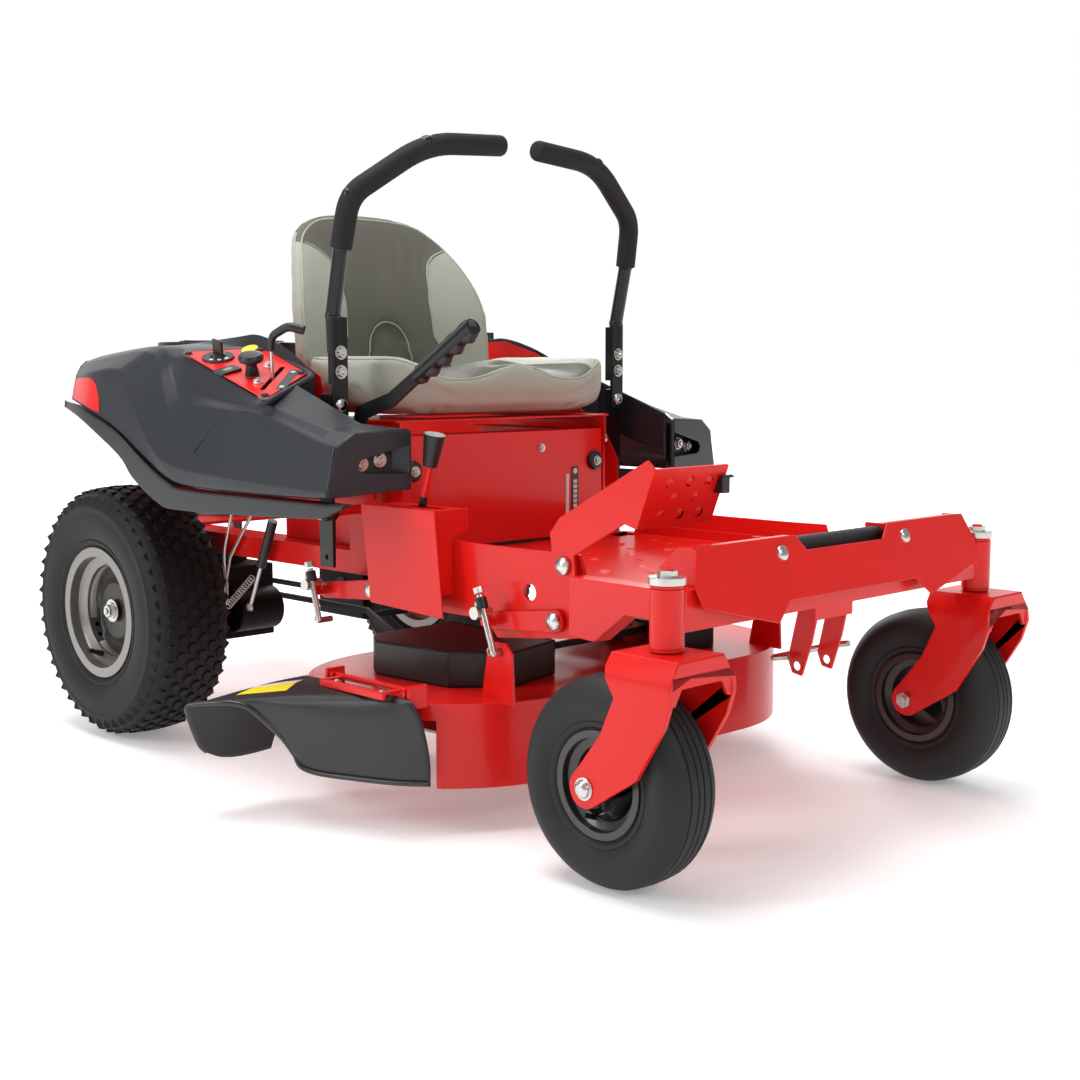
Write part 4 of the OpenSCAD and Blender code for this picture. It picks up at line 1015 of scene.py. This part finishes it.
def back_point(x, z, share, side):
    """A point of the back: share goes from the middle to the edge, side is -1 in front and 1 behind."""
    u, w = x * share, 780 + (z - 780) * share
    y = between(w, BACK_LEAN) - 36 * (abs(u) / 222) ** 2.3 * (1 - soft_step(860, 945, w) * 0.5)
    if side < 0:
        half_arch = 47 * math.sqrt(max(0.0, 1 - max(0.0, (w - 700) / 50) ** 2))
        y += 11 * soft_step(0, 9, half_arch - abs(u)) * (w < 751)
        y -= 5 * soft_step(60, 150, abs(u)) * soft_step(900, 840, w)
    return (u, y + side * (21 - 7 * soft_step(0.9, 1.0, share)), w)


shares = (0.04, 0.09, 0.14, 0.19, 0.24, 0.3, 0.36, 0.43, 0.5, 0.58, 0.66, 0.74, 0.82, 0.89, 0.94, 0.975,
          0.995)
rings = [[back_point(x, z, share, -1) for x, z in BACK_RING] for share in shares]
rings.append([(x, (back_point(x, z, 1, -1)[1] + back_point(x, z, 1, 1)[1]) / 2, z) for x, z in BACK_RING])
rings += [[back_point(x, z, share, 1) for x, z in BACK_RING] for share in reversed(shares)]
WING = [(620, 134), (696, 128), (708, 112), (722, 103), (785, 100), (835, 108), (856, 116), (872, 134),
        (881, 156), (889, 188)]


def wing_edge(z):
    return between(z, WING)


wings = [[back_point(s * wing_edge(z), z, 1, -1) for z in range(672, 888, 6)] for s in (-1, 1)]
rim_line = [back_point(x, z, 0.955, -1) for x, z in BACK_RING]
rim_line = [p for p in rim_line if p[2] > 672]
split = max(range(len(rim_line)), key=lambda k: math.dist(rim_line[k], rim_line[k - 1]))
rim_line = rim_line[split:] + rim_line[:split]
arch = [math.pi * k / 24 for k in range(25)]
arch = [back_point(47 * math.cos(a), 700 + 50 * math.sin(a), 1, -1) for a in arch]
arch = [back_point(52, z, 1, -1) for z in (672, 686)] + arch + [back_point(-52, z, 1, -1) for z in (686, 672)]


def back_zone(x, y, z):
    front = back_point(x, z, 1, -1)[1]
    if y > front + 34:
        return -9.0
    side = y - front - 9 if z < 905 else -9
    reach = 240 * max(0.0, 1 - ((z - 780) / 165) ** 2) ** 0.5 if z > 780 else 222
    return max(abs(x) - wing_edge(z) if z < 889 else -9.0, side if abs(x) > reach * 0.8 else -9.0)


pad("seat_back", rings, wings + [rim_line, arch], back_zone, 5, 3)

# Discharge chute: a moulded rubber hood over the deck's right side, with a rolled rim round its
# open end and its skirt, a plain yellow label, and a red hinge bracket bolted on top.
CHUTE_LINES = [
    [(-417, -884, 80), (-440, -836, 77), (-465, -770, 76), (-486, -716, 77), (-497, -688, 84),
     (-500, -678, 100)],
    [(-421, -887, 120), (-448, -838, 118), (-475, -772, 117), (-498, -714, 117), (-512, -680, 120),
     (-516, -668, 128)],
    [(-434, -887, 170), (-460, -835, 166), (-488, -768, 163), (-513, -706, 161), (-532, -660, 158),
     (-538, -646, 158)],
    [(-441, -879, 195), (-462, -826, 190), (-490, -758, 185), (-520, -696, 180), (-543, -648, 175),
     (-551, -632, 173)],
    [(-442, -860, 204), (-462, -806, 200), (-490, -742, 194), (-522, -682, 187), (-554, -632, 180),
     (-564, -616, 178)],
    [(-442, -780, 206), (-465, -744, 203), (-495, -700, 197), (-530, -655, 189), (-566, -612, 181),
     (-577, -600, 178)],
    [(-442, -660, 205), (-472, -636, 201), (-505, -610, 194), (-540, -588, 186), (-580, -566, 176),
     (-596, -556, 171)],
    [(-446, -612, 196), (-476, -598, 190), (-510, -584, 182), (-545, -570, 174), (-584, -555, 165),
     (-600, -549, 160)],
    [(-455, -570, 124), (-480, -566, 121), (-508, -560, 118), (-535, -554, 115), (-562, -548, 112),
     (-580, -545, 110)],
    [(-462, -558, 84), (-482, -556, 82), (-505, -552, 80), (-526, -548, 80), (-548, -545, 84),
     (-566, -543, 94)],
]
chute_rubber = moulded("chute_rubber", "chute_rubber", (0.014, 0.014, 0.015), 0.4)
chute = bmesh.new()
along = [smooth_line([at(*p) for p in line], 4, 99) for line in CHUTE_LINES]
across = [smooth_line(list(station), 4, 99) for station in zip(*along)]
lofted(chute, list(zip(*across)))
face_way(chute, Vector((0, 0, 1)))
hood = finish_piece("chute_hood", chute, chute_rubber, "chute", 0, ("chute",), 180)
wall = hood.modifiers.new("wall", "SOLIDIFY")
wall.thickness, wall.offset = 0.0045, -1
rims = bmesh.new()
pipe(rims, across[-1], 4.4, 12)
pipe(rims, [station[0] for station in across], 4.2, 12)
# The rolled rims are glossier rubber, and their colour is a little lighter than the hood's as a painted highlight.
rim_rubber_painted_highlight = moulded("chute_rim_rubber", "chute_rubber", (0.022, 0.022, 0.023), 0.26)
finish_piece("chute_rims", rims, rim_rubber_painted_highlight, "chute", 0, (), 60)


def slab(shape, low, high):
    """A block between two corners, in mower mm."""
    a, b = at(*low), at(*high)
    made = bmesh.ops.create_cube(shape, size=1.0)
    bmesh.ops.scale(shape, vec=b - a, verts=made["verts"])
    bmesh.ops.translate(shape, vec=(a + b) / 2, verts=made["verts"])


hinge = bmesh.new()
slab(hinge, (-470, -846, 203), (-463, -700, 213))
slab(hinge, (-470, -846, 210), (-418, -836, 213.5))
slab(hinge, (-470, -710, 210), (-418, -700, 213.5))
slab(hinge, (-424, -846, 206), (-416, -700, 213))
slab(hinge, (-440, -858, 200), (-416, -853, 216))
slab(hinge, (-440, -690, 200), (-416, -685, 216))
finish_piece("chute_bracket", hinge, red, "chute", 1.0)
studs = bmesh.new()
for y in (-826, -722):
    bolt(studs, at(-455, y, 206), (0, 0, 1), 7)
pipe(studs, [at(-430, -862, 210), at(-430, -680, 210)], 3.4, 14)
finish_piece("chute_bolts", studs, zinc, "chute", 0.2)
wide = len(across[0])
corners = [i * wide + j for i in range(len(across) - 1) for j in range(wide - 1)]
tree = BVHTree.FromPolygons([tuple(p) for row in across for p in row],
                            [(k, k + 1, k + wide + 1, k + wide) for k in corners])


def sticker(name, corners, finish, tree, direction, lift, steps=6):
    """A plain label laid on a surface, from four corners in mower mm."""
    shape = bmesh.new()
    rows = []
    for i in range(steps + 1):
        low, high = [at(*corners[a]).lerp(at(*corners[b]), i / steps) for a, b in ((0, 1), (3, 2))]
        row = []
        for k in range(steps + 1):
            spot = low.lerp(high, k / steps)
            hit = tree.ray_cast(spot, direction)[0] or spot
            row.append(hit - direction * lift / 1000)
        rows.append(row)
    lofted(shape, rows)
    bmesh.ops.recalc_face_normals(shape, faces=shape.faces)
    bmesh.ops.solidify(shape, geom=shape.faces[:], thickness=0.0003)
    return finish_piece(name, shape, finish, "chute", 0)


DOWN = Vector((0, 0, -1))
sticker("chute_label", [(-505, -665, 230), (-548, -600, 230), (-520, -596, 230), (-474, -650, 230)],
        yellow, tree, DOWN, 0.6)
sticker("chute_label_pale", [(-474, -650, 230), (-520, -596, 230), (-508, -596, 230), (-462, -648, 230)],
        pale, tree, DOWN, 0.6)

# Deck: black belt covers, rods with zinc trunnions, black bushes and hairpin clips, and a pair of
# bolts on the skirt.
dress("belt_covers", black_satin, 4.0, 40)
hangers = bmesh.new()
bushes = bmesh.new()
for side in (-1, 1):
    for y, shift in ((-896, -29), (-490, -22)):
        top = at(side * 330, y, 344)
        foot = at(side * 330, y + shift, 262)
        way = (foot - top).normalized()
        disc(hangers, top - way * 0.002, -way, 7.5, 9, sides=6)
        pipe(hangers, [at(side * 312, y, 318), at(side * 342, y, 318)], 9.5, 24)
        disc(bushes, top + way * 0.004, way, 8.5, 17)
        bends = ((10, 262), (16, 270), (24, 262), (16, 254), (9, 260))
        pin = [at(side * 322, y + shift + v, z) for v, z in bends]
        pipe(hangers, curve_through(pin, 4, 0.45), 1.0, 8)
finish_piece("hanger_fittings", hangers, zinc, "deck", 0.4)
finish_piece("hanger_bushes", bushes, black_satin, "deck", 0.6)
SKIRT_X, SKIRT_Y, SKIRT_R = -180, -720, 216    # the skirt's round right end
skirt = bmesh.new()
for x, z in ((-262, 124), (-240, 134)):
    y = SKIRT_Y - math.sqrt(SKIRT_R ** 2 - (x - SKIRT_X) ** 2)
    dome(skirt, at(x, y, z), (-0.35, -1, 0), 8, 4)
finish_piece("skirt_bolts", skirt, red, "deck", 0.4)

# Foot pedal: pressed dimples on the tread plate and a black rubber stop.
plate_low, plate_high = at(-225, -1173, 456), at(-225, -1204, 536)
slope = (plate_high - plate_low).normalized()
face_out = slope.cross(Vector((1, 0, 0))).normalized()
if face_out.y > 0:
    face_out = -face_out
pedal = bmesh.new()
for u, w in ((-40, 18), (0, 18), (40, 18), (-22, 42), (22, 42), (-40, 66), (0, 66), (40, 66)):
    place = plate_low + slope * w / 1000 + Vector((u / 1000, 0, 0)) - face_out * 0.0002
    dome(pedal, place, face_out, 8, 3.2)
finish_piece("pedal_dimples", pedal, red, "lift_pedal", 0)
stop = bmesh.new()
slab(stop, (-166, -1206, 498), (-150, -1186, 522))
finish_piece("pedal_stop", stop, black_satin, "lift_pedal", 1.5)

# Seat box: a sight slot with a plain scale beside it, round bumpers and hinge bolts.
gauge = bmesh.new()
slab(gauge, (155, -609.2, 388), (172, -608.2, 492))
finish_piece("gauge_strip", gauge, dark_print, "chassis", 0.3)
marks = bmesh.new()
for k in range(8):
    slab(marks, (159, -609.6, 402 + k * 8.6), (168, -609.1, 408.4 + k * 8.6))
for z in (394, 484):
    disc(marks, at(163.5, -609.1, z), (0, -1, 0), 5, 0.4)
finish_piece("gauge_marks", marks, pale, "chassis", 0)
slot = bmesh.new()
slab(slot, (141.2, -608.4, 390.4), (148.8, -607.2, 479.6))
finish_piece("gauge_slot", slot, pale, "chassis", 0)
bumpers = bmesh.new()
for x in (-212, 212):
    turned(bumpers, at(x, -608.2, 501), (0, -1, 0), [(17, 0), (17, 5), (14, 8), (0, 8)], 28)
finish_piece("box_bumpers", bumpers, black_satin, "chassis", 0.6)
studs = bmesh.new()
for x in (-212, 212):
    bolt(studs, at(x, -616, 501), (0, -1, 0), 7)
bolt(studs, at(80, -608.2, 528), (0, -1, 0), 6)
finish_piece("box_bolts", studs, zinc, "chassis", 0.3)

# Front lugs: a zinc rod hung in a U through both plates.
hook = bmesh.new()
path = spots([(-76, -1255, 268), (-76, -1225, 262), (70, -1225, 262), (70, -1255, 268)])
pipe(hook, curve_through(path, 6, 0.3), 4.6, 14)
finish_piece("front_rod", hook, zinc, "chassis", 0, (), 60)

# Under the right pod, behind the wheel: steering rods with a damper, and a brake rod with its
# return spring.
linkage = bmesh.new()
pipe(linkage, [at(-284, -250, 250), at(-284, -322, 402)], 3.2, 14)
pipe(linkage, [at(-276, -140, 214), at(-276, -178, 330), at(-276, -260, 424)], 3.0, 14)
path = spots([(-292, -150, 200), (-292, -196, 262), (-292, -180, 330), (-292, -214, 420)])
pipe(linkage, curve_through(path, 6, 0.4), 2.6, 12)
for x, y, z in ((-284, -250, 250), (-276, -140, 214), (-292, -214, 420)):
    bolt(linkage, at(x, y, z), (-1, 0, 0), 7)
finish_piece("steering_rods", linkage, zinc, "chassis", 0, (), 60)
damper = bmesh.new()
pipe(damper, [at(-284, -285, 324), at(-284, -324, 406)], 8.5, 20)
finish_piece("steering_damper", damper, black_satin, "chassis", 0.8)
coil = bmesh.new()
low, high = at(-266, -150, 236), at(-266, -236, 300)
way = (high - low).normalized()
turn = turn_to(way).to_3x3()
turns, steps_round, coil_r = 14, 12, 0.006
count = turns * steps_round
steps = []
for k in range(count + 1):
    a = math.tau * k / steps_round
    steps.append(low.lerp(high, k / count) + turn @ Vector((math.cos(a), math.sin(a), 0)) * coil_r)
pipe(coil, steps, 1.0, 6)
finish_piece("brake_spring", coil, zinc, "chassis", 0, (), 60)

# Behind the seat: a recoil screen on the shroud, an oil filter and a plain round muffler.
shroud_top = at(0, 215, 716)
screen = bmesh.new()
for r in range(20, 112, 12):
    turned(screen, shroud_top, (0, 0, 1), [(r - 2, 0), (r - 2, 3), (r + 2, 3), (r + 2, 0), (r - 2, 0)], 64)
for k in range(6):
    a = math.radians(60 * k)
    pipe(screen, [at(r * math.cos(a), 215 + r * math.sin(a), 718) for r in (14, 112)], 1.8, 8)
turned(screen, shroud_top, (0, 0, 1), [(0, 0), (26, 0), (25, 5), (0, 6)], 40)
finish_piece("engine_screen", screen, black_satin, "chassis", 0)
filter_can = bmesh.new()
turned(filter_can, at(96, 310, 470), (0.35, 1, 0),
       [(0, 0), (26, 0), (28, 4), (28, 46), (23, 54), (0, 54)], 40)
enamel = plain("filter_enamel", None, (0.02, 0.02, 0.022), 0.35)
finish_piece("oil_filter", filter_can, enamel, "chassis", 0.6)
muffler = bmesh.new()
pipe(muffler, [at(-96, 338, 450), at(52, 338, 450)], 44, 40)
finish_piece("muffler", muffler, cast, "chassis", 3.0)
